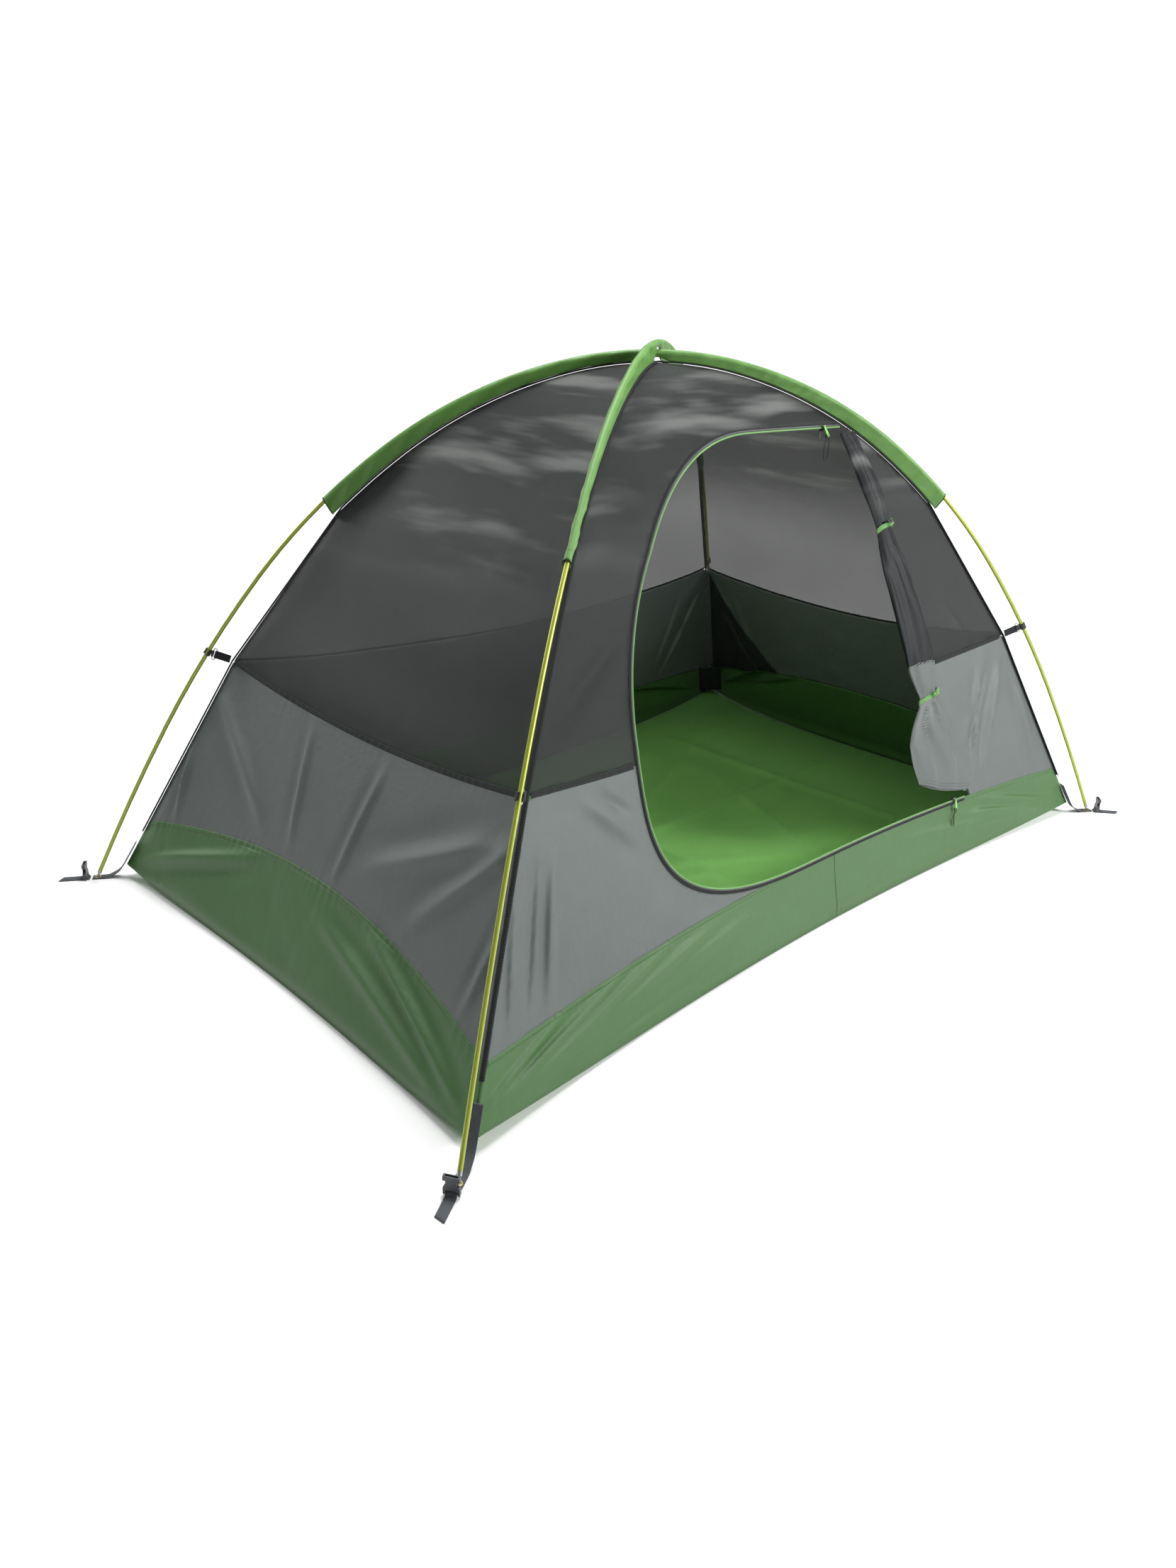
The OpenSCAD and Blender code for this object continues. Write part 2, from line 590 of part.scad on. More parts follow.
// Female half of a side-release buckle: mouth at the top, side windows, and a bar below
module buckle(i) {
    h = buckle_size[0];
    w = buckle_size[1];
    t = buckle_size[2];
    bar_r = 1.7;
    body_low = 6;
    color("dimgray")
    at_corner(i) translate([foot_r, 0, 0]) rotate([0, 0, strap_turn[i]])
        translate([buckle_out, 0, bar_z]) {
        rotate([90, 0, 0]) cylinder(h = w - 3, r = bar_r, center = true);
        difference() {
            rotate([90, 0, 90]) linear_extrude(t, center = true) difference() {
                union() {
                    translate([-w / 2, h - 8]) square([w, 8]);
                    translate([-w / 2 + 4.5, body_low]) square([w - 9, h - 8 - body_low + 0.5]);
                    for (side = [-1, 1]) translate([side * (w / 2 - 4.2), 9.2]) circle(4.2);
                    for (side = [-1, 1]) translate([side * (w / 2 - 1.75), 3.8])
                        square([3.5, 11], center = true);
                }
                for (side = [-1, 1]) translate([side * w / 2, h - 12.5]) circle(4.6);
            }
            // Mouth for the other half
            translate([-t / 2 + 1.6, -w / 2 + 3, 10]) cube([t - 3.2, w - 6, h]);
        }
    }
}
module buckle_front_right() buckle(0);
module buckle_front_left() buckle(1);
module buckle_back_left() buckle(2);
module buckle_back_right() buckle(3);

// ---- Pole clips ----
// The strap leaves the clip corner square to the ridge and holds an oval ring, and the
// clip hooks from the ring round the pole
function clip_root() = clip_corner + 6.5 * [cos(33), sin(33)];
function clip_way(i) = let (d = pole_at(corner_bends(i), clip_along) - clip_root()) d;
function clip_angle(i) = atan2(clip_way(i)[1], clip_way(i)[0]);
// Frame of a clip: x from the canopy to the pole, y across, z up the pole
module at_clip(i) at_corner(i) translate([clip_root()[0], 0, clip_root()[1]])
    rotate([0, -clip_angle(i), 0]) children();

ring_wire = 1.3;
// Distances from the pole to the ring's near and far wire
ring_gap = [10.2, 17.2];
module clip_strap(i) {
    ring_x = norm(clip_way(i)) - ring_gap[1];
    eye = 2.4;
    start = 1.4;
    color("black") at_clip(i) {
        translate([start, -0.8, -8]) cube([ring_x - eye - start, 1.6, 16]);
        translate([ring_x, 0, 0]) difference() {
            cylinder(h = 16, r = eye + 1, center = true);
            cylinder(h = 18, r = eye, center = true);
        }
    }
}
module clip_ring(i) {
    bow = (ring_gap[1] - ring_gap[0]) / 2;
    half = 9;
    color("silver") at_clip(i) translate([norm(clip_way(i)) - ring_gap[1] + bow, 0, 0]) {
        for (side = [-bow, bow]) translate([side, 0, 0])
            cylinder(h = 2 * half, r = ring_wire, center = true);
        for (side = [-1, 1]) translate([0, 0, side * half]) rotate([90, side * 90, 0])
            rotate([0, 0, 90]) rotate_extrude(angle = 180) translate([bow, 0]) circle(ring_wire);
    }
}
module pole_clip(i) {
    hook_r = pole_d / 2 + 3.2;
    bore_r = pole_d / 2 + 0.65;
    tilt = slope_at(corner_bends(i), clip_along) - 90 + clip_angle(i);
    color("black") at_clip(i) translate([norm(clip_way(i)), 0, 0]) difference() {
        union() {
            rotate([0, tilt, 0]) difference() {
                cylinder(h = clip_w, r = hook_r, center = true);
                cylinder(h = clip_w + 2, r = bore_r, center = true);
                translate([1, 1.5, -clip_w]) cube([20, 20, 2 * clip_w]);
            }
            translate([-ring_gap[0], 0, 0]) cube([5.6, 5.6, clip_w - 1], center = true);
        }
        translate([-ring_gap[0], 0, 0]) cylinder(h = clip_w + 8, r = ring_wire + 0.4, center = true);
    }
}
module clip_strap_front_right() clip_strap(0);
module clip_strap_front_left() clip_strap(1);
module clip_strap_back_left() clip_strap(2);
module clip_strap_back_right() clip_strap(3);
module clip_ring_front_right() clip_ring(0);
module clip_ring_front_left() clip_ring(1);
module clip_ring_back_left() clip_ring(2);
module clip_ring_back_right() clip_ring(3);
module pole_clip_front_right() pole_clip(0);
module pole_clip_front_left() pole_clip(1);
module pole_clip_back_left() pole_clip(2);
module pole_clip_back_right() pole_clip(3);

pole_tip_sections();
pole_lower_sections();
pole_upper_sections();
pole_shoulder_sections();
pole_middle_sections();
pole_ferrules();
pole_tips();
shock_cords();
floor();
tub_wall_front();
tub_wall_back();
tub_wall_left();
tub_wall_right();
lower_wall_front();
lower_wall_back();
lower_wall_left();
lower_wall_right();
mesh_panel_front();
mesh_panel_back();
mesh_panel_left();
mesh_panel_right();
pole_sleeve_under();
pole_sleeve_over();
ridge_binding();
wall_binding();
corner_pocket();
gear_pockets();
door_zip_tape();
door_roll_mesh();
door_roll_wall();
door_tie_upper();
door_tie_lower();
tie_toggle_upper();
tie_toggle_lower();
zip_slider_upper();
zip_slider_lower();
upper_pull_outer();
upper_pull_inner();
lower_pull();
upper_pull_cord();
lower_pull_cord();
corner_webbing();
corner_eyelets();
buckle_front_right();
buckle_front_left();
buckle_back_left();
buckle_back_right();
clip_strap_front_right();
clip_strap_front_left();
clip_strap_back_left();
clip_strap_back_right();
clip_ring_front_right();
clip_ring_front_left();
clip_ring_back_left();
clip_ring_back_right();
pole_clip_front_right();
pole_clip_front_left();
pole_clip_back_left();
pole_clip_back_right();
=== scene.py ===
import math

import bmesh
import bpy
import numpy as np
from mathutils import Matrix, Vector
from mathutils.geometry import delaunay_2d_cdt


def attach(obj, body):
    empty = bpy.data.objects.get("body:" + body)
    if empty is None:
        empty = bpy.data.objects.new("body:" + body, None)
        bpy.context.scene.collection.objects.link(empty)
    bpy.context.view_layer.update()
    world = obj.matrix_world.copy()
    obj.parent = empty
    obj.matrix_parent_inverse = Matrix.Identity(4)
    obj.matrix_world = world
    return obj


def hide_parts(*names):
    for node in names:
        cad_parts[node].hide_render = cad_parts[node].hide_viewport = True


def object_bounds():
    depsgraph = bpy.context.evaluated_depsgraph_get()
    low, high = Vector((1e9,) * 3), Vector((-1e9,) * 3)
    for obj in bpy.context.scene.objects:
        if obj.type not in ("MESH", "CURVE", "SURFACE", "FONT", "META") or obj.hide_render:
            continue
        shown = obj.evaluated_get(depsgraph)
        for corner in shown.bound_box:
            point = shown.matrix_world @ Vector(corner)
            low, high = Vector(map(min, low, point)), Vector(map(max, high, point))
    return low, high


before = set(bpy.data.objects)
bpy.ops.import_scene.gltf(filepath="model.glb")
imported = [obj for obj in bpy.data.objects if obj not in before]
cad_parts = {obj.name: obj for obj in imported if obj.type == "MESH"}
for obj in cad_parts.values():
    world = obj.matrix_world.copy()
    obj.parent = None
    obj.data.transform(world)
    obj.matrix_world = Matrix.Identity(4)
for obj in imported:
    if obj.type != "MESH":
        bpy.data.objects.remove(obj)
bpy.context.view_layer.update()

# ---- Standpoint, floor and light ----
# A standing viewer looks down a little past the front left corner. The tent is pitched on
# a plain pale floor under a wide overhead softbox, with a second one before the door.
view_turn, view_tilt, view_roll = (math.radians(a) for a in (-44.26, 22.80, 1.58))
back = Vector((math.sin(view_turn) * math.cos(view_tilt),
               -math.cos(view_turn) * math.cos(view_tilt), math.sin(view_tilt)))
level_right = (-back).cross(Vector((0, 0, 1))).normalized()
level_up = level_right.cross(-back)
right = level_right * math.cos(view_roll) + level_up * math.sin(view_roll)
up = level_up * math.cos(view_roll) - level_right * math.sin(view_roll)
eye = bpy.data.objects.new("eye", bpy.data.cameras.new("eye"))
bpy.context.collection.objects.link(eye)
eye.data.lens = 26.53
eye.matrix_world = Matrix.Translation((-1.867, -1.746, 1.221)) @ Matrix(
    (right, up, back)).transposed().to_4x4()
bpy.context.scene.camera = eye


class Value:
    """A shader socket that takes part in sums, and that further nodes are built on."""

    def __init__(self, tree, socket=None):
        self.tree, self.socket = tree, socket

    def node(self, kind, sockets=(), out=0, **settings):
        """Adds a shader node: its settings first, then its sockets' values or links."""
        made = self.tree.nodes.new("ShaderNode" + kind)
        for name, setting in settings.items():
            setattr(made, name, setting)
        for name, value in dict(sockets).items():
            if isinstance(value, Value):
                self.tree.links.new(value.socket, made.inputs[name])
            else:
                made.inputs[name].default_value = value
        return Value(self.tree, made.outputs[out])

    def math(self, operation, *values):
        return self.node("Math", dict(enumerate(values)), operation=operation)

    def __add__(self, other):
        return self.math("ADD", self, other)

    def __sub__(self, other):
        return self.math("SUBTRACT", self, other)

    def __mul__(self, other):
        return self.math("MULTIPLY", self, other)

    __radd__, __rmul__ = __add__, __mul__

    def sine(self):
        return self.math("SINE", self)

    def larger(self, other):
        return self.math("MAXIMUM", self, other)

    def between(self, low, high):
        """0 below low, 1 above high, smooth in between."""
        return self.node("MapRange", {"Value": self, "From Min": low, "From Max": high},
                         interpolation_type="SMOOTHSTEP")

    def mix(self, colour, other):
        """A colour that goes from the first to the second as this value goes from 0 to 1."""
        return self.node("Mix", {0: self, 6: colour, 7: other}, out=2, data_type="RGBA")


def shade(red, green, blue):
    """A colour on the usual 0 to 255 screen scale as the linear one that shaders use."""
    return tuple(((c / 255 + 0.055) / 1.055) ** 2.4 if c > 10 else c / 3295
                 for c in (red, green, blue)) + (1.0,)


def finish(name, build, **constants):
    """A material: build gets a starting Value and returns what feeds the shader's sockets;
    constants sit on the sockets themselves."""
    made = bpy.data.materials.new(name)
    made.use_nodes = True
    shader = made.node_tree.nodes["Principled BSDF"]
    for socket, value in constants.items():
        shader.inputs[socket.replace("_", " ")].default_value = value
    for socket, value in build(Value(made.node_tree)).items():
        if isinstance(value, Value):
            made.node_tree.links.new(value.socket, shader.inputs[socket])
        else:
            shader.inputs[socket].default_value = value
    return made


def noise(start, place, scale, detail=2.0, rough=0.5):
    return start.node("TexNoise", {"Vector": place, "Scale": scale, "Detail": detail,
                                   "Roughness": rough})


def placed(start):
    """Where a point is on its own piece, in metres."""
    return start.node("TexCoord", out="Object")


def bump(start, height, depth):
    return start.node("Bump", {"Height": height, "Distance": depth, "Strength": 1.0})


def plain_floor(start):
    """White paint, with a glow that grows with distance so that no horizon shows."""
    where = placed(start)
    cloud = noise(start, where, 1.5)
    far = start.node("VectorMath", {0: where}, 1, operation="LENGTH").between(2.2, 6.5)
    return {"Base Color": cloud.mix(shade(240, 240, 240), shade(246, 246, 246)),
            "Roughness": 0.6 + cloud * 0.1,
            "Emission Color": far.mix(shade(30, 30, 30), shade(255, 255, 255))}


bpy.ops.mesh.primitive_grid_add(x_subdivisions=2, y_subdivisions=2, size=24,
                                location=(0, 0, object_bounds()[0].z - 0.0005))
ground = bpy.context.object
ground.name = "ground"
ground.data.materials.append(finish("pale_ground", plain_floor, Emission_Strength=1.0))

for lamp_name, spot, aim, size, watts in (
        ("overhead", (0.5, 0.3, 4.2), (0, 0, 0), 2.4, 190),
        ("door_side", (2.6, -4.2, 2.6), (0.1, 0, 0.3), 1.3, 290),
        ("far_side", (-1.8, 4.0, 3.0), (0, 0, 0.4), 2.0, 90),
        ("through_cloth", (0.0, -0.12, 0.90), (0.1, 0.35, 0.1), 0.5, 4.2)):
    lamp = bpy.data.objects.new(lamp_name, bpy.data.lights.new(lamp_name, "AREA"))
    bpy.context.collection.objects.link(lamp)
    lamp.data.shape, lamp.data.size, lamp.data.energy = "DISK", size, watts
    lamp.location = spot
    lamp.visible_camera = False
    lamp.rotation_euler = (Vector(aim) - Vector(spot)).to_track_quat("-Z", "Y").to_euler()
world = bpy.data.worlds.new("studio")
bpy.context.scene.world = world
world.use_nodes = True
sky = world.node_tree.nodes["Background"]
sky.inputs["Color"].default_value = (0.98, 0.99, 1.0, 1)
seen = Value(world.node_tree).node("LightPath")
world.node_tree.links.new((seen * 0.80 + 0.28).socket, sky.inputs["Strength"])
bpy.context.scene.view_settings.view_transform = "Standard"

# ---- Pull cords ----
# Short loops of braided cord knotted through the zip pulls, so that they can be found and
# drawn with cold hands. The upper one hangs in the doorway, the lower one lies on the wall.
cord_width = 0.0018


def braid(start, colour, fleck):
    """Crossing strands wound round the cord, by its own length and girth."""
    along = start.node("SeparateXYZ", {0: start.node("UVMap", uv_map="flat")})
    girth = Value(start.tree, along.socket.node.outputs[1])
    turn = along * 2400
    strands = (turn + girth * 25.1).sine() * (turn - girth * 25.1).sine()
    worn = noise(start, placed(start), 220)
    tint = strands.between(-0.2, 0.6).mix(colour, fleck)
    return {"Base Color": (worn * 0.35).mix(tint, shade(30, 31, 30)),
            "Roughness": 0.62 + worn * 0.2,
            "Normal": bump(start, strands, 0.00012)}


def smooth_line(points, parts):
    """A smooth curve through the points, with that many parts between each two."""
    p = np.asarray(points, float)
    ends = np.vstack([2 * p[0] - p[1], p, 2 * p[-1] - p[-2]])
    t = (np.arange((len(p) - 1) * parts + 1) / parts)
    k = np.minimum(t.astype(int), len(p) - 2)
    f = (t - k)[:, None]
    a, b, c, d = (ends[k + i] for i in range(4))
    return 0.5 * (2 * b + (c - a) * f + (2 * a - 5 * b + 4 * c - d) * f ** 2
                  + (3 * b - a - 3 * c + d) * f ** 3)


def cloth_piece(name, points, faces, flat, material=None):
    """A mesh piece with its flat pattern, in metres, as its UV map."""
    mesh = bpy.data.meshes.new(name)
    mesh.from_pydata(np.asarray(points).tolist(), [], faces)
    layer = mesh.uv_layers.new(name="flat")
    corner = np.empty(len(mesh.loops), np.int32)
    mesh.loops.foreach_get("vertex_index", corner)
    layer.data.foreach_set("uv", np.asarray(flat, np.float32)[corner].ravel())
    mesh.polygons.foreach_set("use_smooth", [True] * len(mesh.polygons))
    made = bpy.data.objects.new(name, mesh)
    bpy.context.collection.objects.link(made)
    if material:
        mesh.materials.append(material)
    return made


def grid_faces(rows, columns, closed=False):
    """Quads of a grid of points, rows up and columns to the right seen from outside."""
    span = columns if closed else columns - 1
    return [(i * columns + j, i * columns + (j + 1) % columns,
             (i + 1) * columns + (j + 1) % columns, (i + 1) * columns + j)
            for i in range(rows - 1) for j in range(span)]


def frames_along(line, side):
    """Unit directions along a line, square to it near side, and square to both."""
    way = np.gradient(line, axis=0)
    way /= np.linalg.norm(way, axis=1)[:, None]
    over = np.cross(np.broadcast_to(side, way.shape), way)
    over /= np.linalg.norm(over, axis=1)[:, None]
    return way, over, np.cross(way, over)


def tube_piece(name, line, radius, side, material, around=10, flatten=1.0):
    """A round or flattened tube along a line, closed at its ends."""
    line = np.asarray(line)
    _, over, across = frames_along(line, np.asarray(side, float))
    turn = np.linspace(0, 2 * np.pi, around + 1)
    ring = (line[:, None] + radius * np.cos(turn)[None, :, None] * over[:, None] * flatten
            + radius * np.sin(turn)[None, :, None] * across[:, None])
    run = np.concatenate([[0], np.cumsum(np.linalg.norm(np.diff(line, axis=0), axis=1))])
    flat = np.stack(np.broadcast_arrays(run[:, None], turn[None] / (2 * np.pi)), -1)
    n, m = len(line), around + 1
    points, sheet_of = ring.reshape(-1, 3), flat.reshape(-1, 2)
    made = cloth_piece(name, points, [f[::-1] for f in grid_faces(n, m)], sheet_of, material)
    shell = bmesh.new()
    shell.from_mesh(made.data)
    bmesh.ops.remove_doubles(shell, verts=shell.verts, dist=radius * 0.02)
    bmesh.ops.holes_fill(shell, edges=[e for e in shell.edges if e.is_boundary])
    bmesh.ops.recalc_face_normals(shell, faces=shell.faces)
    shell.to_mesh(made.data)
    shell.free()
    return made


def knot_piece(name, centre, radius, material):
    """A small overhand knot: a lumpy ball of cord."""
    bpy.ops.mesh.primitive_uv_sphere_add(segments=24, ring_count=16, radius=1)
    made = bpy.context.object
    made.name = name
    at = np.array([v.co for v in made.data.vertices])
    lump = 1 + 0.16 * np.sin(3 * np.arctan2(at[:, 1], at[:, 0]) + 5 * at[:, 2])
    at = at * lump[:, None] * radius * [1.0, 0.8, 1.15] + centre
    made.data.vertices.foreach_set("co", at.ravel())
    made.data.uv_layers[0].name = "flat"
    made.data.polygons.foreach_set("use_smooth", [True] * len(made.data.polygons))
    made.data.materials.append(material)
    return made


upper_loop = [[0, -2, 1], [0, 0, 0], [1, 2, -2], [3, 1, -9], [6, -1, -18], [8, -2, -28],
              [8, -2, -38], [6, -2, -47], [2, -2, -52], [-3, -2, -51], [-6, -2, -45],
              [-7, -2, -36], [-6, -2, -26], [-4, -2, -16], [-2, -3, -8], [0, -4, -3]]
lower_loop = [[0, -2, 1], [0, 0, 0], [-1, 2, -2], [-5, 0, -9], [-10, -3, -17], [-14, -5, -26],
              [-16, -6, -34], [-15, -6, -41], [-10, -6, -43], [-6, -6, -38], [-4, -6, -29],
              [-2, -6, -19], [-1, -5, -9], [0, -4, -4]]
# Axes of the two sliders: along the zip, into the tent, up the wall, and their places
upper_slider = np.array([[0.9949, -0.1010, 0], [0.0803, 0.7904, -0.6073],
                         [0.0613, 0.6041, 0.7945], [0.29317, -0.22226, 0.97603]])
lower_slider = np.array([[0.9968, -0.0777, -0.0179], [0.0704, 0.9632, -0.2593],
                         [0.0374, 0.2573, 0.9656], [0.52141, -0.54169, 0.14199]])
bar_depth = -0.0068
upper_hole = upper_slider[3] + bar_depth * upper_slider[1] - 0.021 * upper_slider[2]
lower_hole = lower_slider[3] + bar_depth * lower_slider[1] - 0.019 * lower_slider[2]
level_axes = np.array([[0.9949, -0.1010, 0], [0.1010, 0.9949, 0], [0, 0, 1]])
dark_braid = finish("dark_braid", lambda s: braid(s, shade(22, 23, 24), shade(52, 54, 56)),
                    Specular_IOR_Level=0.25)
green_braid = finish("green_braid", lambda s: braid(s, shade(34, 44, 30), shade(70, 92, 56)))
for cord_name, loop, hole, axes, material, body, cord_slot in (
        ("upper_cord_loop", upper_loop, upper_hole, level_axes, dark_braid,
         "upper_pull_outer", "cord_dark"),
        ("lower_cord_loop", lower_loop, lower_hole, lower_slider[:3], green_braid,
         "lower_pull", "cord_green")):
    local = smooth_line(np.array(loop) * [0.001, -0.001, 0.001], 4)
    route = hole + local @ axes
    cord = tube_piece(cord_name, route, cord_width / 2, axes[1] + [0, 0, 0.01], material, 12)
    knot = knot_piece(cord_name + "_knot", hole + np.array([0, 0.0042, -0.0030]) @ axes,
                      0.0026, material)
    node = "upper_pull_cord" if body == "upper_pull_outer" else "lower_pull_cord"
    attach(cord, body)
    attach(knot, body)
    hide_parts(node)

# ---- Poles ----
# Two shock-corded poles of nine drawn aluminium tubes each, anodised yellow-green, with
# plain inserts in their ends, turned tips, and an elastic cord through them.


def anodised(start, colour, worn_colour):
    """Drawn tube: dyed oxide with faint lengthwise draw lines and rubbed patches."""
    where = placed(start)
    fine = noise(start, where, 900, 3, 0.7)
    patch = noise(start, where, 14, 3).between(0.62, 0.78)
    tint = (patch * 0.5).mix(colour, worn_colour)
    return {"Base Color": (fine * 0.25).mix(tint, worn_colour),
            "Roughness": 0.30 + fine * 0.16 + patch * 0.1,
            "Normal": bump(start, fine, 0.00004)}


tube_green = finish("anodised_tube", lambda s: anodised(s, shade(152, 162, 58), shade(182, 190, 100)),
                    Metallic=0.55, Coat_Weight=0.25, Coat_Roughness=0.2)
bare_alloy = finish("bare_alloy", lambda s: anodised(s, shade(176, 178, 180), shade(120, 122, 125)),
                    Metallic=1.0)


def elastic_cover(start):
    ribs = start.node("TexWave", {"Vector": placed(start), "Scale": 900.0, "Distortion": 1.0})
    return {"Base Color": ribs.mix(shade(38, 38, 40), shade(70, 70, 72)),
            "Roughness": 0.8 + ribs * 0.1, "Normal": bump(start, ribs, 0.0001)}


def finish_node(node, material):
    """Gives a CAD node its finish in each of its slots."""
    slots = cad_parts[node].data.materials
    if len(slots) == 0:
        slots.append(material)
    for k in range(len(slots)):
        slots[k] = material


for node in ("pole_tip_sections", "pole_lower_sections", "pole_upper_sections",
             "pole_shoulder_sections", "pole_middle_sections"):
    finish_node(node, tube_green)
finish_node("pole_ferrules", bare_alloy)
finish_node("pole_tips", bare_alloy)
finish_node("shock_cords", finish("elastic_cover", elastic_cover))

# ---- Shape of the canopy ----
# The canopy's four ridges hang inside the poles and its walls curve in between them. Its
# panels are cut from coated taffeta and netting, and every sewn piece lies on this shape.
section_length = 0.392
under_bends = np.array([13.2, 22.0, 16.2, 8.6, 4.4])
over_bends = np.array([15.8, 21.7, 14.3, 6.9, 3.7])
mean_bends = (under_bends + over_bends) / 2


def pole_line(bends, along):
    """Places [out, up] and slopes of a pole at distances along it from its top."""
    sizes = np.array([0.5, 1, 1, 1, 1]) * section_length
    starts = np.concatenate([[0], np.cumsum(sizes)[:-1]])
    turned = np.radians(np.concatenate([[0], np.cumsum(bends)]))
    radii = sizes / np.radians(bends)
    begin = np.concatenate([[[0, 0]], np.cumsum(np.stack(
        [radii * np.diff(np.sin(turned)), radii * np.diff(np.cos(turned))], 1), 0)])
    along = np.atleast_1d(along)
    k = np.clip(np.searchsorted(starts, along, side="right") - 1, 0, 4)
    slope = turned[k] + np.radians(bends[k]) * (along - starts[k]) / sizes[k]
    part = np.stack([radii[k] * (np.sin(slope) - np.sin(turned[k])),
                     radii[k] * (np.cos(slope) - np.cos(turned[k]))], 1)
    return begin[k] + part + [0, -begin[5][1]], slope


foot_out = pole_line(mean_bends, 4.5 * section_length)[0][0][0]
way_x = 1.05 / foot_out
way_y = math.sqrt(1 - way_x ** 2)
sleeve_end = 0.769
top_line, top_slope = pole_line(mean_bends, np.linspace(sleeve_end, 0, 65))
top_line = top_line - 0.030 * np.stack([np.sin(top_slope), np.cos(top_slope)], 1)
ridge_up = np.concatenate([[-0.010, 0.028, 0.490], top_line[:, 1]])
ridge_out = np.concatenate([[1.172, 1.172, 0.900], top_line[:, 0]])
sleeve_height = top_line[0, 1]
sag = (0.034, 0.022)
wave = np.random.default_rng(11)


def ridge_at(height):
    return np.interp(height, ridge_up, ridge_out)


def lean_at(height):
    return np.interp(height, np.concatenate([[0, 0.490], top_line[:, 1]]),
                     np.concatenate([np.radians([30.5, 33]), np.pi / 2 - top_slope]))


def half_width(side, height):
    return ridge_at(height) * (way_x, way_y)[side % 2]


def run_table(side):
    """Heights and the distance up the middle of a wall to each."""
    in_step = np.diff(ridge_out) * (way_y, way_x)[side % 2]
    return ridge_up, np.concatenate([[0], np.cumsum(np.hypot(np.diff(ridge_up), in_step))])


def run_at(side, height):
    return np.interp(height, *run_table(side))


def height_at(side, run):
    return np.interp(run, *run_table(side)[::-1])


def soft_step(value, low, high):
    t = np.clip((value - low) / (high - low), 0, 1)
    return t * t * (3 - 2 * t)


def seam_height(side, s):
    return 0.124 + (0.016, 0.075)[side % 2] * (1 - s * s)


def band_height(side, s):
    return 0.490 - (0.042, 0.036)[side % 2] * (1 - s * s)


# The door's edge, across and up: along its base, round its left side, back along its top
door_centre = np.array([0.060, 0.455])
door_top = 0.973


def door_base(x):
    return seam_height(0, x / half_width(0, 0.124)) + 0.005


def zip_line(grow, from_x, to_x, turns=48):
    low = door_centre[1] - door_base(door_centre[0])
    a = np.linspace(0, np.pi / 2, turns)[1:]
    x = np.linspace(from_x, door_centre[0], 24)
    base = np.stack([x, door_base(x) - grow], 1)
    below = door_centre - np.stack([(0.540 + grow) * np.sin(a) ** (2 / 3),
                                    (low + grow) * np.cos(a) ** (2 / 3)], 1)
    above = door_centre + np.stack([-(0.540 + grow) * np.cos(a), (0.518 + grow) * np.sin(a)], 1)
    top = np.stack([np.linspace(door_centre[0], to_x, 12)[1:],
                    np.full(11, door_top + grow)], 1)
    return np.concatenate([base, below, above, top])


def hinge_line(grow=0.0, parts=24):
    u = np.linspace(0, 1, parts)
    x = 0.372 + 0.213 * u - 0.042 * 4 * u * (1 - u)
    return np.stack([x + grow, door_top + (door_base(0.585) - door_top) * u], 1)


def off_line(points, line, closed=False):
    """How far points of a plane are from a broken line."""
    ends = np.roll(line, -1, 0) if closed else line[1:]
    best = np.full(len(points), 9.0)
    for a, b in zip(line, ends):
        d = b - a
        t = np.clip(((points - a) @ d) / max(d @ d, 1e-12), 0, 1)
        best = np.minimum(best, np.hypot(*(points - a - t[:, None] * d).T))
    return best


# Tension folds of each wall: from and to, across and up, then width and depth
folds = {
    0: [(-.940, .052, -.600, .130, .011, .0065), (-.915, .040, -.470, .130, .013, .0075),
        (-.880, .034, -.330, .120, .015, .0060), (-.800, .030, -.200, .105, .016, .0040),
        (-.955, .062, -.760, .128, .008, .0040), (-.800, .430, -.885, .150, .010, .0050),
        (-.765, .400, -.850, .155, .011, -.0045), (-.720, .380, -.790, .150, .013, .0040),
        (-.640, .446, -.500, .330, .014, .0035), (-.600, .450, -.520, .390, .010, -.0030),
        (.745, .430, .640, .170, .012, .0060), (.700, .430, .600, .240, .010, -.0045),
        (.660, .425, .615, .150, .009, .0050), (.800, .420, .860, .150, .012, .0040),
        (.930, .050, .600, .125, .012, .0055), (.900, .036, .420, .125, .014, .0055),
        (.860, .034, .250, .110, .016, .0035), (-.700, .560, -.420, .700, .020, .0030),
        (.560, .600, .640, .480, .012, .0030), (-.470, .930, -.300, .900, .016, .0040)],
    1: [(.520, .440, .300, .220, .018, .0050), (.480, .420, .120, .250, .022, .0045),
        (.545, .400, .500, .160, .010, .0045), (-.545, .400, -.490, .160, .010, .0045),
        (-.500, .430, -.200, .230, .020, .0045), (.570, .050, .200, .180, .014, .0055),
        (.530, .036, .050, .150, .016, .0045), (-.570, .050, -.180, .180, .014, .0050),
        (.100, .430, .060, .210, .012, .0030), (-.150, .440, -.100, .220, .012, .0030)],
}
for side in (2, 3):
    reach_out = (0.93, 0.56)[side - 2]
    folds[side] = [(end * reach_out * wave.uniform(.9, 1), wave.uniform(.04, .07),
                    end * reach_out * wave.uniform(.3, .6), seam_height(side, 0.4) - .004,
                    wave.uniform(.011, .016), wave.uniform(.004, .007))
                   for end in (-1, 1) for _ in range(3)]
    folds[side] += [(end * reach_out * wave.uniform(.7, .86), .43,
                     end * reach_out * wave.uniform(.6, .9), wave.uniform(.15, .24),
                     wave.uniform(.009, .014), wave.uniform(-.005, .006))
                    for end in (-1, 1) for _ in range(4)]
swells = [(wave.uniform(4, 13), wave.uniform(7, 22), wave.uniform(0, 6.3)) for _ in range(7)]
zip_track = zip_line(0.004, 0.565, 0.346)


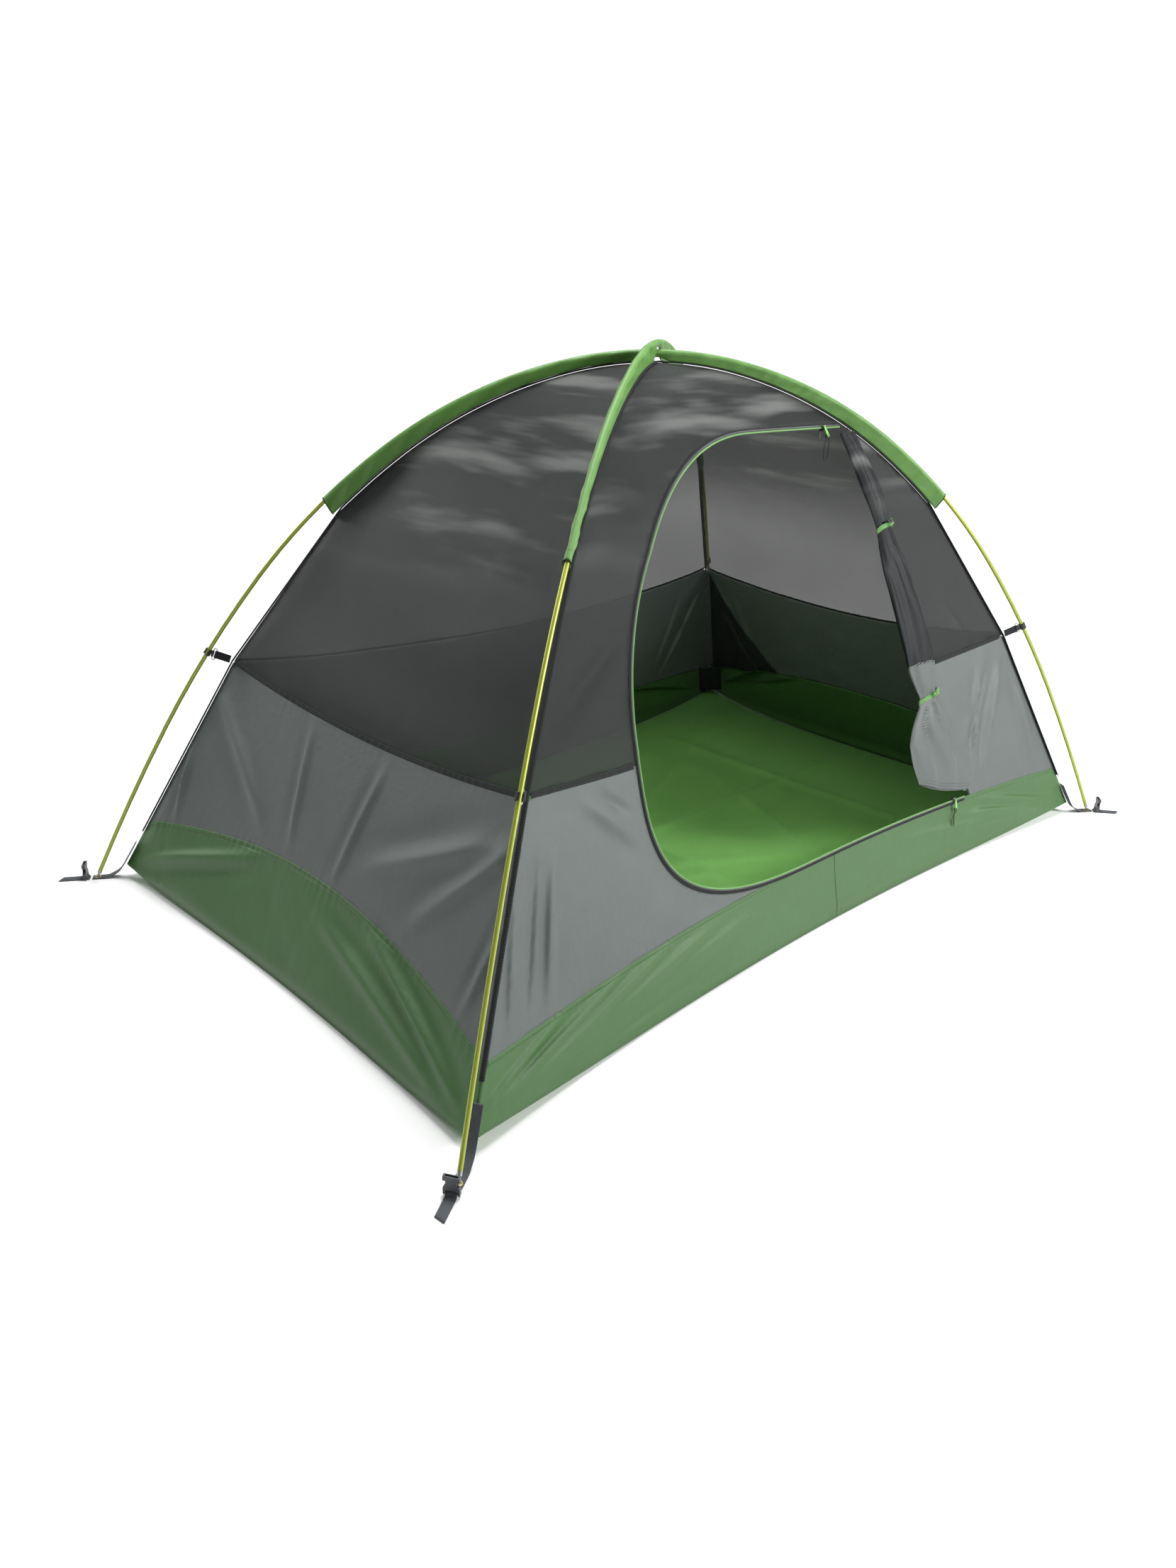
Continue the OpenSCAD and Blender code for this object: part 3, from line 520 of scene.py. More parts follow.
def ease(side, across, height):
    """How far the cloth stands out of its taut shape at points of a wall."""
    across, height = np.broadcast_arrays(np.asarray(across, float), np.asarray(height, float))
    shape = across.shape
    across, height = across.ravel(), height.ravel()
    room = np.maximum(half_width(side, height) - np.abs(across), 0)
    free = soft_step(room, 0.0, 0.045) * soft_step(height, 0.0, 0.05)
    free = free * soft_step(sleeve_height + 0.24 - height, 0.0, 0.10)
    out = np.zeros(len(across))
    points = np.stack([across, height], 1)
    for x0, z0, x1, z1, wide, deep in folds[side]:
        a, d = np.array([x0, z0]), np.array([x1 - x0, z1 - z0])
        t = np.clip(((points - a) @ d) / (d @ d), 0, 1)
        gap = points - a - t[:, None] * d
        away = (gap[:, 0] * d[1] - gap[:, 1] * d[0]) / np.hypot(*d)
        near = np.exp(-(np.hypot(*gap.T) / (0.8 * wide)) ** 2)
        under = np.exp(-((away - 1.9 * wide) / (1.1 * wide)) ** 2)
        out += 2.6 * deep * np.sin(np.pi * np.clip(t, 0.02, 0.98)) ** 0.7 * (near - 0.4 * under)
    for kx, kz, turn in swells:
        out += 0.0011 * np.sin(kx * across + kz * height + turn + side)
    net = soft_step(height, 0.46, 0.60)
    out += net * 0.0035 * np.sin(26 * height + 2.1 * np.sin(3.1 * across + side) + side)
    s = across / half_width(side, height)
    for line, reach in ((seam_height(side, s), 0.020), (band_height(side, s), 0.016)):
        pucker = np.sin(across * 330 + 1.7 * np.sin(across * 41 + side))
        pucker = pucker * (0.6 + 0.4 * np.sin(across * 23 + side))
        out += 0.0011 * pucker * np.exp(-np.abs(height - line) / reach) * soft_step(room, 0, 0.02)
    out *= free
    if side == 0:
        still = np.minimum(off_line(points, zip_track), off_line(points, hinge_line()))
        out *= soft_step(still, 0.006, 0.07)
    return out.reshape(shape)


def wall_at(side, across, height, out=0.0, taut=False):
    """Points of a wall: across and up its face, and out of it, in metres."""
    across, height, out = np.broadcast_arrays(*(np.asarray(v, float)
                                                for v in (across, height, out)))
    if not taut:
        out = out + ease(side, across, height)
    lean = lean_at(height)
    s = across / np.maximum(half_width(side, height), 1e-9)
    s = np.clip(s, -1, 1)
    r = ridge_at(height) + out * np.cos(lean)
    if side % 2 == 0:
        x = r * way_x
        place = np.stack([s * x, -(r * way_y - sag[0] * 2 * x * (1 - s * s)),
                          height + out * np.sin(lean)], -1)
    else:
        y = r * way_y
        place = np.stack([-(r * way_x - sag[1] * 2 * y * (1 - s * s)), -s * y,
                          height + out * np.sin(lean)], -1)
    return place if side < 2 else place * [-1, -1, 1]


def face_out(side, across, height):
    """Directions square to a wall at points of it."""
    step = 0.002
    over = wall_at(side, np.asarray(across) + step, height, taut=True) - wall_at(
        side, np.asarray(across) - step, height, taut=True)
    rise = wall_at(side, across, np.asarray(height) + step, taut=True) - wall_at(
        side, across, np.asarray(height) - step, taut=True)
    out = np.cross(over, rise)
    return out / np.linalg.norm(out, axis=-1)[..., None]


def thicken(piece, thickness, offset=-1.0):
    made = piece.modifiers.new("thickness", "SOLIDIFY")
    made.thickness, made.offset, made.use_rim = thickness, offset, True
    return piece


def weave(start, colour, light, pitch, ripple=0.5):
    """Plain-woven coated cloth: crossing threads, a faint check, and soft clouding."""
    at = start.node("UVMap", uv_map="flat")
    split = start.node("SeparateXYZ", {0: at})
    u, v = split, Value(start.tree, split.socket.node.outputs[1])
    turn = 2 * math.pi / pitch
    threads = (u * turn).sine() * (v * turn).sine()
    check = (u * (turn / 12)).sine().larger((v * (turn / 12)).sine()).between(0.96, 1.0)
    cloud = noise(start, at, 9, 4, 0.55)
    crease = noise(start, at, 46, 5, 0.62)
    tint = (cloud * 0.8).mix(colour, light)
    tint = (threads.between(-0.4, 1.0) * 0.10 + check * 0.05).mix(tint, light)
    relief = threads * 0.4 + crease * (4.0 * ripple)
    return {"Base Color": tint, "Roughness": 0.34 + cloud * 0.14 + crease * 0.08,
            "Normal": bump(start, relief, 0.00012)}


# ---- Floor ----
# The tub's floor is one piece of heavily coated green taffeta. It lies on the ground with
# the long soft creases of its packed folds, and is seamed to the tub walls round its edge.
# Painted light: the floor's green is lighter than the tub walls' green, standing in for light that
# reaches the inside of the tent
floor_green_painted_lit = finish("floor_taffeta_painted_lit", lambda s: weave(
    s, shade(86, 140, 60), shade(108, 162, 82), 0.0011, 1.2), Sheen_Weight=0.1, Sheen_Roughness=0.4)
u, v = np.meshgrid(np.linspace(-1, 1, 171), np.linspace(-1, 1, 107))
long_x, long_y = 1.171 * way_x, 1.171 * way_y
floor_x = u * (long_x - sag[1] * 2 * long_y * (1 - v * v))
floor_y = v * (long_y - sag[0] * 2 * long_x * (1 - u * u))
spots = np.stack([floor_x.ravel(), floor_y.ravel()], 1)
rise = np.zeros(len(spots))
for x0, y0, x1, y1, wide, deep in (
        (-.90, -.40, .85, .46, .020, .006), (-.85, .30, .60, -.52, .018, .005),
        (-.62, -.58, -.66, .56, .014, .006), (-.02, -.57, .03, .56, .015, .007),
        (.60, -.55, .57, .55, .014, .006), (-.93, .02, .93, -.01, .016, .006),
        (-.50, -.50, -.15, .10, .016, .005), (.20, -.52, .48, .20, .014, .005),
        (-.10, .15, .40, .50, .022, .005), (.10, -.30, -.30, -.10, .012, .004)):
    a, d = np.array([x0, y0]), np.array([x1 - x0, y1 - y0])
    t = np.clip(((spots - a) @ d) / (d @ d), 0, 1)
    gap = np.hypot(*(spots - a - t[:, None] * d).T)
    rise += deep * np.sin(np.pi * np.clip(t, .02, .98)) ** 0.5 * np.exp(-(gap / wide) ** 1.4)
for kx, ky, turn in swells:
    rise += 0.0009 * (1 + np.sin(kx * spots[:, 0] + ky * 0.8 * spots[:, 1] + turn))
rim = soft_step(1 - np.abs(u.ravel()), 0, 0.03) * soft_step(1 - np.abs(v.ravel()), 0, 0.05)
lift = 0.028 * (u * v).ravel() ** 4
tub_floor = cloth_piece("tub_floor", np.stack([*spots.T, 0.0012 + lift + rise * rim], 1),
                        grid_faces(*u.shape), spots, floor_green_painted_lit)
thicken(tub_floor, 0.0004)
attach(tub_floor, "root")
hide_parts("floor")
2 * long_x
2 * long_y
2 * long_x * 2 * long_y * 0.93

# ---- Tub walls ----
# The tub's green walls stand up from the floor to a curved seam. They pull in tension
# folds from the staked corners up to that seam, and have one upright seam on long sides.
SIDES = ("front", "left", "back", "right")
tub_green = finish("tub_taffeta", lambda s: weave(
    s, shade(46, 84, 34), shade(58, 100, 46), 0.0011, 1.5), Sheen_Weight=0.1, Sheen_Roughness=0.35)


def wall_piece(name, side, low, high, columns, rows, material):
    """A panel between two curves of a wall, given as heights at shares of its width."""
    s, t = np.meshgrid(np.linspace(-1, 1, columns), np.linspace(0, 1, rows))
    height = low(s) + (high(s) - low(s)) * t
    across = s * half_width(side, height)
    flat = np.stack([across.ravel(), run_at(side, height).ravel()], 1)
    made = cloth_piece(name, wall_at(side, across, height).reshape(-1, 3),
                       grid_faces(rows, columns), flat, material)
    tall = (run_at(side, height[-1]) - run_at(side, height[0]))
    made["flat_wide"] = float(2 * np.abs(across).max())
    made["flat_tall"] = float(tall.max())
    made["flat_area"] = float(np.mean(tall * half_width(side, height).mean(0)) * 2)
    return made


def hold_sheet(piece, node, rests_on):
    """Attaches a sewn panel to the root body and hides the CAD part that it stands for."""
    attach(piece, "root")
    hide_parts(node)
    wide, tall, area = (piece[k] for k in ("flat_wide", "flat_tall", "flat_area"))
    min(area, wide * tall)


def base_height(s):
    return 0.028 * np.abs(s) ** 4


for side, name in enumerate(SIDES):
    panel = wall_piece("tub_side_" + name, side, base_height,
                       lambda s, w=side: seam_height(w, s), (300, 190)[side % 2], 24, tub_green)
    thicken(panel, 0.0004)
    hold_sheet(panel, "tub_wall_" + name, ["tub_floor"])

# ---- Lower walls ----
# Above the tub a band of uncoated grey polyester keeps draughts out. It is cut on curves
# at both edges, and the door takes most of the front one.
wall_grey = finish("wall_polyester", lambda s: weave(
    s, shade(70, 77, 74), shade(88, 95, 92), 0.0009, 1.8),
    Sheen_Weight=0.12, Sheen_Roughness=0.3)


def evenly(line, pitch):
    """The same line with points an even pitch apart."""
    run = np.concatenate([[0], np.cumsum(np.hypot(*np.diff(line, axis=0).T))])
    at = np.linspace(0, run[-1], max(2, round(run[-1] / pitch) + 1))
    return np.stack([np.interp(at, run, line[:, 0]), np.interp(at, run, line[:, 1])], 1)


def inside(points, outline):
    """True for points of a plane that a closed outline holds."""
    held = np.zeros(len(points), bool)
    for a, b in zip(outline, np.roll(outline, -1, 0)):
        crosses = (a[1] > points[:, 1]) != (b[1] > points[:, 1])
        with np.errstate(divide="ignore", invalid="ignore"):
            x = a[0] + (points[:, 1] - a[1]) / (b[1] - a[1]) * (b[0] - a[0])
        held ^= crosses & (points[:, 0] < x)
    return held


def cut_piece(name, side, outline, hole, pitch, material):
    """A panel cut to an outline, less a hole, both as [across, up] points of a wall."""
    rings = []
    for ring in (outline, hole):
        if ring is not None:
            level = np.stack([ring[:, 0], run_at(side, ring[:, 1])], 1)
            rings.append(evenly(np.vstack([level, level[:1]]), pitch)[:-1])
    low, high = rings[0].min(0), rings[0].max(0)
    x, y = np.meshgrid(np.arange(low[0], high[0], pitch), np.arange(low[1], high[1], pitch * 0.87))
    x[1::2] += pitch / 2
    dots = np.stack([x.ravel(), y.ravel()], 1)
    dots = dots[inside(dots, rings[0]) & (off_line(dots, rings[0], True) > 0.5 * pitch)]
    if hole is not None:
        dots = dots[~inside(dots, rings[1]) & (off_line(dots, rings[1], True) > 0.5 * pitch)]
    edges, count = [], 0
    for ring in rings:
        edges += [(count + k, count + (k + 1) % len(ring)) for k in range(len(ring))]
        count += len(ring)
    given = [Vector(p) for ring in rings for p in ring] + [Vector(p) for p in dots]
    made_points, _, made_faces = delaunay_2d_cdt(given, edges, [], 0, 1e-6)[:3]
    level = np.array([tuple(p) for p in made_points])
    faces = np.array([f for f in made_faces if len(f) == 3])
    middle = level[faces].mean(1)
    kept = inside(middle, rings[0])
    if hole is not None:
        kept &= ~inside(middle, rings[1])
    faces = faces[kept]
    p = level[faces]
    one, two = p[:, 1] - p[:, 0], p[:, 2] - p[:, 0]
    turned = one[:, 0] * two[:, 1] - one[:, 1] * two[:, 0]
    faces = faces[np.abs(turned) > 1e-9]
    turned = turned[np.abs(turned) > 1e-9]
    faces[turned < 0] = faces[turned < 0][:, ::-1]
    used, again = np.unique(faces, return_inverse=True)
    level = level[used]
    height = height_at(side, level[:, 1])
    made = cloth_piece(name, wall_at(side, level[:, 0], height),
                       again.reshape(-1, 3).tolist(), level, material)
    # The smallest rectangle of cloth that the panel can be cut from, at any slant
    turns = [level @ [[math.cos(a), -math.sin(a)], [math.sin(a), math.cos(a)]]
             for a in np.radians(range(0, 90, 3))]
    made["flat_wide"], made["flat_tall"] = min(
        (np.ptp(turn, axis=0).tolist() for turn in turns), key=lambda v: v[0] * v[1])
    made["flat_area"] = float(np.abs(turned).sum() / 2)
    return made


def wall_outline(side, low, high, top=None):
    """Outline of a panel from one curve up to another, or up both ridges to the top."""
    s = np.linspace(-1, 1, 90)
    floor_line = np.stack([s * half_width(side, low(s)), low(s)], 1)
    if top is None:
        z = np.linspace(low(1.0), high(1.0), 40)
        lid = np.stack([s * half_width(side, high(s)), high(s)], 1)[::-1]
    else:
        z = np.concatenate([np.linspace(low(1.0), sleeve_height, 30), top_line[1:, 1]])
        lid = np.zeros((0, 2))
    edge = np.stack([half_width(side, z), z], 1)
    return np.vstack([floor_line, edge[1:], lid[1:-1] if len(lid) else lid,
                      (edge * [-1, 1])[::-1][1:-1]])


door_hole = np.vstack([zip_line(0.008, 0.577, 0.364), hinge_line()])
for side, name in enumerate(SIDES):
    outline = wall_outline(side, lambda s, w=side: seam_height(w, s),
                           lambda s, w=side: band_height(w, s))
    panel = cut_piece("lower_side_" + name, side, outline, None if side else door_hole,
                      0.0085, wall_grey)
    thicken(panel, 0.0003)
    hold_sheet(panel, "lower_wall_" + name, ["tub_side_" + name])

# ---- Netting ----
# The upper walls are fine dark mesh netting, drawn up to the crossing of the poles. It is
# see-through, and a satin bloom is painted into its colour as light streaks near the top.


def net(start, colour, thread_light, shown):
    """Knitted netting: holes in a half-drop pattern between lustrous threads, and painted sheen near the
    top.
    """
    at = start.node("UVMap", uv_map="flat")
    u = start.node("SeparateXYZ", {0: at})
    v = Value(start.tree, u.socket.node.outputs[1])
    turn = 2 * math.pi / 0.0016
    cells = (u * turn).sine() * (v * turn).sine()
    holes = cells.between(0.15, 0.75)
    cloud = noise(start, at, 5, 3, 0.5)
    tint = (cloud * 0.7 + cells * 0.08).mix(colour, thread_light)
    stretched = start.node("CombineXYZ", {0: u * 1.3, 1: v * 7})
    # Painted sheen: stretched light grey streaks in the colour over the upper part, standing in for
    # light glancing along the netting
    painted_sheen_bands = noise(start, stretched, 1.6, 3, 0.5).between(0.46, 0.66) * v.between(0.80, 1.02)
    tint = (painted_sheen_bands * 0.8).mix(tint, shade(112, 114, 112))
    shown = shown + v.between(0.72, 1.0) * 0.16
    return {"Base Color": tint, "Alpha": shown + cloud * 0.05 - holes * 0.20,
            "Roughness": 0.42 + cloud * 0.12, "Normal": bump(start, cells, 0.00008)}


netting = finish("mesh_netting", lambda s: net(s, shade(28, 30, 30), shade(50, 52, 52), 0.66),
                 Sheen_Weight=0.12, Sheen_Roughness=0.25, Specular_IOR_Level=0.2)
for side, name in enumerate(SIDES):
    outline = wall_outline(side, lambda s, w=side: band_height(w, s), None, True)
    # The front one is in two, parted by the door and joined above its top corner
    parts = [(name, outline)] if side else [
        ("front", np.minimum(outline, [0.372, 9])), ("front_right", np.maximum(outline, [0.372, 0]))]
    for part, shape in parts:
        panel = cut_piece("net_side_" + part, side, shape, None if side else door_hole,
                          0.0115, netting)
        thicken(panel, 0.0003)
        hold_sheet(panel, "mesh_panel_" + name, ["ridge_tape"])

# ---- Stitching ----
# Lockstitch in dark and green thread holds every seam and tape. The stitches are set in
# rows by one node tree, which the zip's teeth use too.


def row_tree():
    """A tree that sets a small rounded bead at even steps along each line of a mesh."""
    tree = bpy.data.node_groups.new("beads_in_rows", "GeometryNodeTree")
    for label, kind in (("Line", "Geometry"), ("Pitch", "Float"), ("Bead", "Vector"),
                        ("Finish", "Material")):
        tree.interface.new_socket(label, in_out="INPUT", socket_type="NodeSocket" + kind)
    tree.interface.new_socket("Row", in_out="OUTPUT", socket_type="NodeSocketGeometry")

    def node(kind, links=(), **settings):
        made = tree.nodes.new(kind)
        for label, setting in settings.items():
            setattr(made, label, setting)
        for label, value in dict(links).items():
            if isinstance(value, bpy.types.NodeSocket):
                tree.links.new(value, made.inputs[label])
            else:
                made.inputs[label].default_value = value
        return made

    given = node("NodeGroupInput").outputs
    line = node("GeometryNodeMeshToCurve", {"Mesh": given["Line"]})
    steps = node("GeometryNodeResampleCurve", {"Curve": line.outputs[0],
                                               "Length": given["Pitch"]}, mode="LENGTH")
    bead = node("GeometryNodeMeshUVSphere", {"Segments": 5, "Rings": 3, "Radius": 0.5})
    out = node("GeometryNodeInputNamedAttribute", {"Name": "facing"}, data_type="FLOAT_VECTOR")
    turn = node("FunctionNodeAxesToRotation", {
        "Primary Axis": out.outputs["Attribute"],
        "Secondary Axis": node("GeometryNodeInputTangent").outputs[0]},
        primary_axis="Z", secondary_axis="X")
    beads = node("GeometryNodeInstanceOnPoints", {
        "Points": steps.outputs[0], "Instance": bead.outputs["Mesh"],
        "Rotation": turn.outputs[0], "Scale": given["Bead"]})
    real = node("GeometryNodeRealizeInstances", {"Geometry": beads.outputs[0]})
    done = node("GeometryNodeSetMaterial", {"Geometry": real.outputs[0],
                                            "Material": given["Finish"]})
    node("NodeGroupOutput", {"Row": done.outputs[0]})
    return tree


bead_rows = row_tree()


def beads(name, lines, pitch, bead, material):
    """One mesh of beads along lines, each given as points and the directions they face."""
    mesh = bpy.data.meshes.new(name)
    points, edges, faces_of = [], [], []
    for line, facing in lines:
        edges += [(len(points) + k, len(points) + k + 1) for k in range(len(line) - 1)]
        points += np.asarray(line).tolist()
        faces_of += np.asarray(facing).tolist()
    mesh.from_pydata(points, edges, [])
    mesh.attributes.new("facing", "FLOAT_VECTOR", "POINT").data.foreach_set(
        "vector", np.array(faces_of, np.float32).ravel())
    made = bpy.data.objects.new(name, mesh)
    bpy.context.collection.objects.link(made)
    rows = made.modifiers.new("rows", "NODES")
    rows.node_group = bead_rows
    for item in bead_rows.interface.items_tree:
        if item.in_out == "INPUT" and item.name in ("Pitch", "Bead", "Finish"):
            rows[item.identifier] = {"Pitch": pitch, "Bead": bead, "Finish": material}[item.name]
    graph = bpy.context.evaluated_depsgraph_get()
    plain = bpy.data.meshes.new_from_object(made.evaluated_get(graph), depsgraph=graph)
    made.modifiers.clear()
    made.data = plain
    plain.polygons.foreach_set("use_smooth", [True] * len(plain.polygons))
    return made


def thread(start, colour, light):
    twist = start.node("TexWave", {"Vector": placed(start), "Scale": 700.0, "Distortion": 2.0})
    return {"Base Color": twist.mix(colour, light), "Roughness": 0.55 + twist * 0.1}


def on_wall(side, across, height, out):
    """A line on a wall, with the directions that it faces."""
    return wall_at(side, across, height, out), face_out(side, across, height)


dark_thread = finish("dark_thread", lambda s: thread(s, shade(34, 36, 36), shade(64, 66, 66)))
green_thread = finish("green_thread", lambda s: thread(s, shade(58, 84, 48), shade(96, 128, 80)))
stitch = (0.0034, 0.0009, 0.0006)
seam_lines, base_lines, joint_lines = [], [], []
for side in range(4):
    s = np.linspace(-0.992, 0.992, 240)
    height = seam_height(side, s)
    for shift in (-0.0022, 0.0034):
        seam_lines.append(on_wall(side, s * half_width(side, height), height + shift, 0.0011))
    foot = base_height(s) + 0.004
    base_lines.append(on_wall(side, s * half_width(side, foot), foot, 0.0005))
for side, x in ((0, 0.060), (2, 0.058)):
    height = np.linspace(0.006, seam_height(0, 0.06), 30)
    for shift in (-0.003, 0.003):
        joint_lines.append(on_wall(side, x + shift + 0.012 * (height / 0.14) ** 2, height, 0.0009))
for name, lines in (("tub_seam_stitches", seam_lines),
                    ("base_stitches", base_lines + joint_lines)):
    row = beads(name, lines, 0.0048, stitch, green_thread)
    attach(row, "root")


def wall_strip(name, side, across, height, half, out, thick, material, rows=7):
    """A tape with a domed face, laid along a line of a wall and following its cloth."""
    across, height = np.asarray(across, float), np.asarray(height, float)
    way = np.gradient(np.stack([across, run_at(side, height)], 1), axis=0)
    way /= np.hypot(*way.T)[:, None]
    t = np.linspace(-1, 1, rows)[:, None]
    x = across + t * half * -way[:, 1]
    z = height + t * half * way[:, 0] * np.gradient(height_at(side, run_at(
        side, height) + np.array([[-1e-3], [1e-3]])), axis=0)[0] / 2e-3
    proud = out + thick * (1 - t ** 4)
    run = np.concatenate([[0], np.cumsum(np.hypot(np.diff(across), np.diff(run_at(side, height))))])
    flat = np.stack(np.broadcast_arrays(run, t * half), -1).reshape(-1, 2)
    made = cloth_piece(name, wall_at(side, x, z, proud).reshape(-1, 3),
                       grid_faces(rows, len(across)), flat, material)
    return thicken(made, 0.0005)


def ribbed_tape(start, colour, light, rib):
    """Woven tape: fine cross ribs between two smooth selvedges, along its own pattern."""
    at = start.node("UVMap", uv_map="flat")
    u = start.node("SeparateXYZ", {0: at})
    v = Value(start.tree, u.socket.node.outputs[1])
    ribs = (u * (2 * math.pi / rib)).sine()
    yarns = (v * (2 * math.pi / (rib * 0.8))).sine()
    fuzz = noise(start, placed(start), 300, 3, 0.7)
    tint = (ribs.between(-0.5, 1.0) * 0.4 + fuzz * 0.3).mix(colour, light)
    return {"Base Color": tint, "Roughness": 0.68 + fuzz * 0.18,
            "Normal": bump(start, ribs + yarns * 0.5 + fuzz * 0.5, 0.00015)}


binding = finish("binding_tape", lambda s: ribbed_tape(s, shade(26, 28, 28), shade(42, 45, 44), .0011),
                 Sheen_Weight=0.05, Specular_IOR_Level=0.2)
for side, name in enumerate(SIDES):
    s = np.linspace(-0.994, 0.994, 240)
    height = seam_height(side, s) + 0.0006
    strip = wall_strip("tub_seam_" + name, side, s * half_width(side, height), height,
                       0.0048, 0.0003, 0.0006, tub_green, 5)
    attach(strip, "root")
for side, x in ((0, 0.060), (2, 0.058)):
    height = np.linspace(0.004, seam_height(0, 0.06), 24)
    strip = wall_strip("tub_joint_" + SIDES[side], side, x + 0.012 * (height / 0.14) ** 2,
                       height, 0.0055, 0.0002, 0.0005, tub_green, 5)
    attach(strip, "root")

# ---- Bindings ----
# Dark folded polyester tape covers the ridge seams, and the seam between grey cloth and
# netting right round the tent. Two rows of stitches run along each.
spans = [(0, -0.985, -0.4955), (0, 0.4685, 0.985), (1, -0.985, 0.985), (2, -0.985, 0.985),
         (3, -0.985, 0.985)]
tape_lines = []
for k, (side, first, last) in enumerate(spans):
    if side == 0:
        ends = [e if abs(e) < 0.6 else e * half_width(0, 0.490) for e in (first, last)]
        across = np.linspace(*ends, 110)
        height = band_height(0, across / half_width(0, band_height(0, across / 0.75)))
    else:
        s = np.linspace(first, last, 200)
        height = band_height(side, s)
        across = s * half_width(side, height)
    tape = wall_strip("band_tape_%d" % k, side, across, height, 0.0055, 0.0004, 0.0017, binding)
    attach(tape, "root")
    if k == 0:
        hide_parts("wall_binding")
    for shift in (-0.0036, 0.0036):
        tape_lines.append(on_wall(side, across, height + shift, 0.0022))


def corner_frame(corner):
    """Direction out to a corner and direction across it, on the ground."""
    sx, sy = ((1, -1), (-1, -1), (-1, 1), (1, 1))[corner]
    return np.array([sx * way_x, sy * way_y, 0.0]), np.array([-sy * way_y, sx * way_x, 0.0])


ridge_places = np.concatenate([np.stack([ridge_at(z := np.linspace(0.106, 0.490, 50)), z], 1),
                               top_line[1:]])
ridge_lean = lean_at(ridge_places[:, 1])
for corner in range(4):
    out_way, over_way = corner_frame(corner)
    t = np.linspace(-1, 1, 9)
    proud = 0.0006 + 0.0040 * np.sqrt(1 - 0.92 * t ** 2)
    centre = ridge_places[:, 0, None] * out_way + ridge_places[:, 1, None] * [0, 0, 1]
    square = np.cos(ridge_lean)[:, None] * out_way + np.sin(ridge_lean)[:, None] * [0, 0, 1]
    points = (centre[None] + proud[:, None, None] * square[None]
              + (t * 0.0048)[:, None, None] * over_way)
    run = np.concatenate([[0], np.cumsum(np.linalg.norm(np.diff(centre, axis=0), axis=1))])
    flat = np.stack(np.broadcast_arrays(run, t[:, None] * 0.0048), -1).reshape(-1, 2)
    rows, columns = points.shape[:2]
    tape = cloth_piece("ridge_tape" + ("" if corner == 0 else "_%d" % corner),
                       points.reshape(-1, 3), [f[::-1] for f in grid_faces(rows, columns)],
                       flat, binding)
    thicken(tape, 0.0005)
    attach(tape, "root")
    if corner == 0:
        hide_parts("ridge_binding")
    for shift in (-0.0031, 0.0031):
        low = ridge_places[:, 1] < 0.80
        tape_lines.append((centre[low] + square[low] * 0.0041 + over_way * shift, square[low]))
stitches = beads("tape_stitches", tape_lines, 0.0048, stitch, dark_thread)
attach(stitches, "root")

# ---- Pole sleeves ----
# Folded green taffeta forms a sleeve round the upper half of each pole, sewn into the
# ridge seams. It wrinkles slantwise between pole and seam, and its mouths are hemmed.
sleeve_green = finish("sleeve_taffeta", lambda s: weave(
    s, shade(72, 118, 44), shade(104, 154, 72), 0.0010, 2.4), Sheen_Weight=0.15, Sheen_Roughness=0.3)


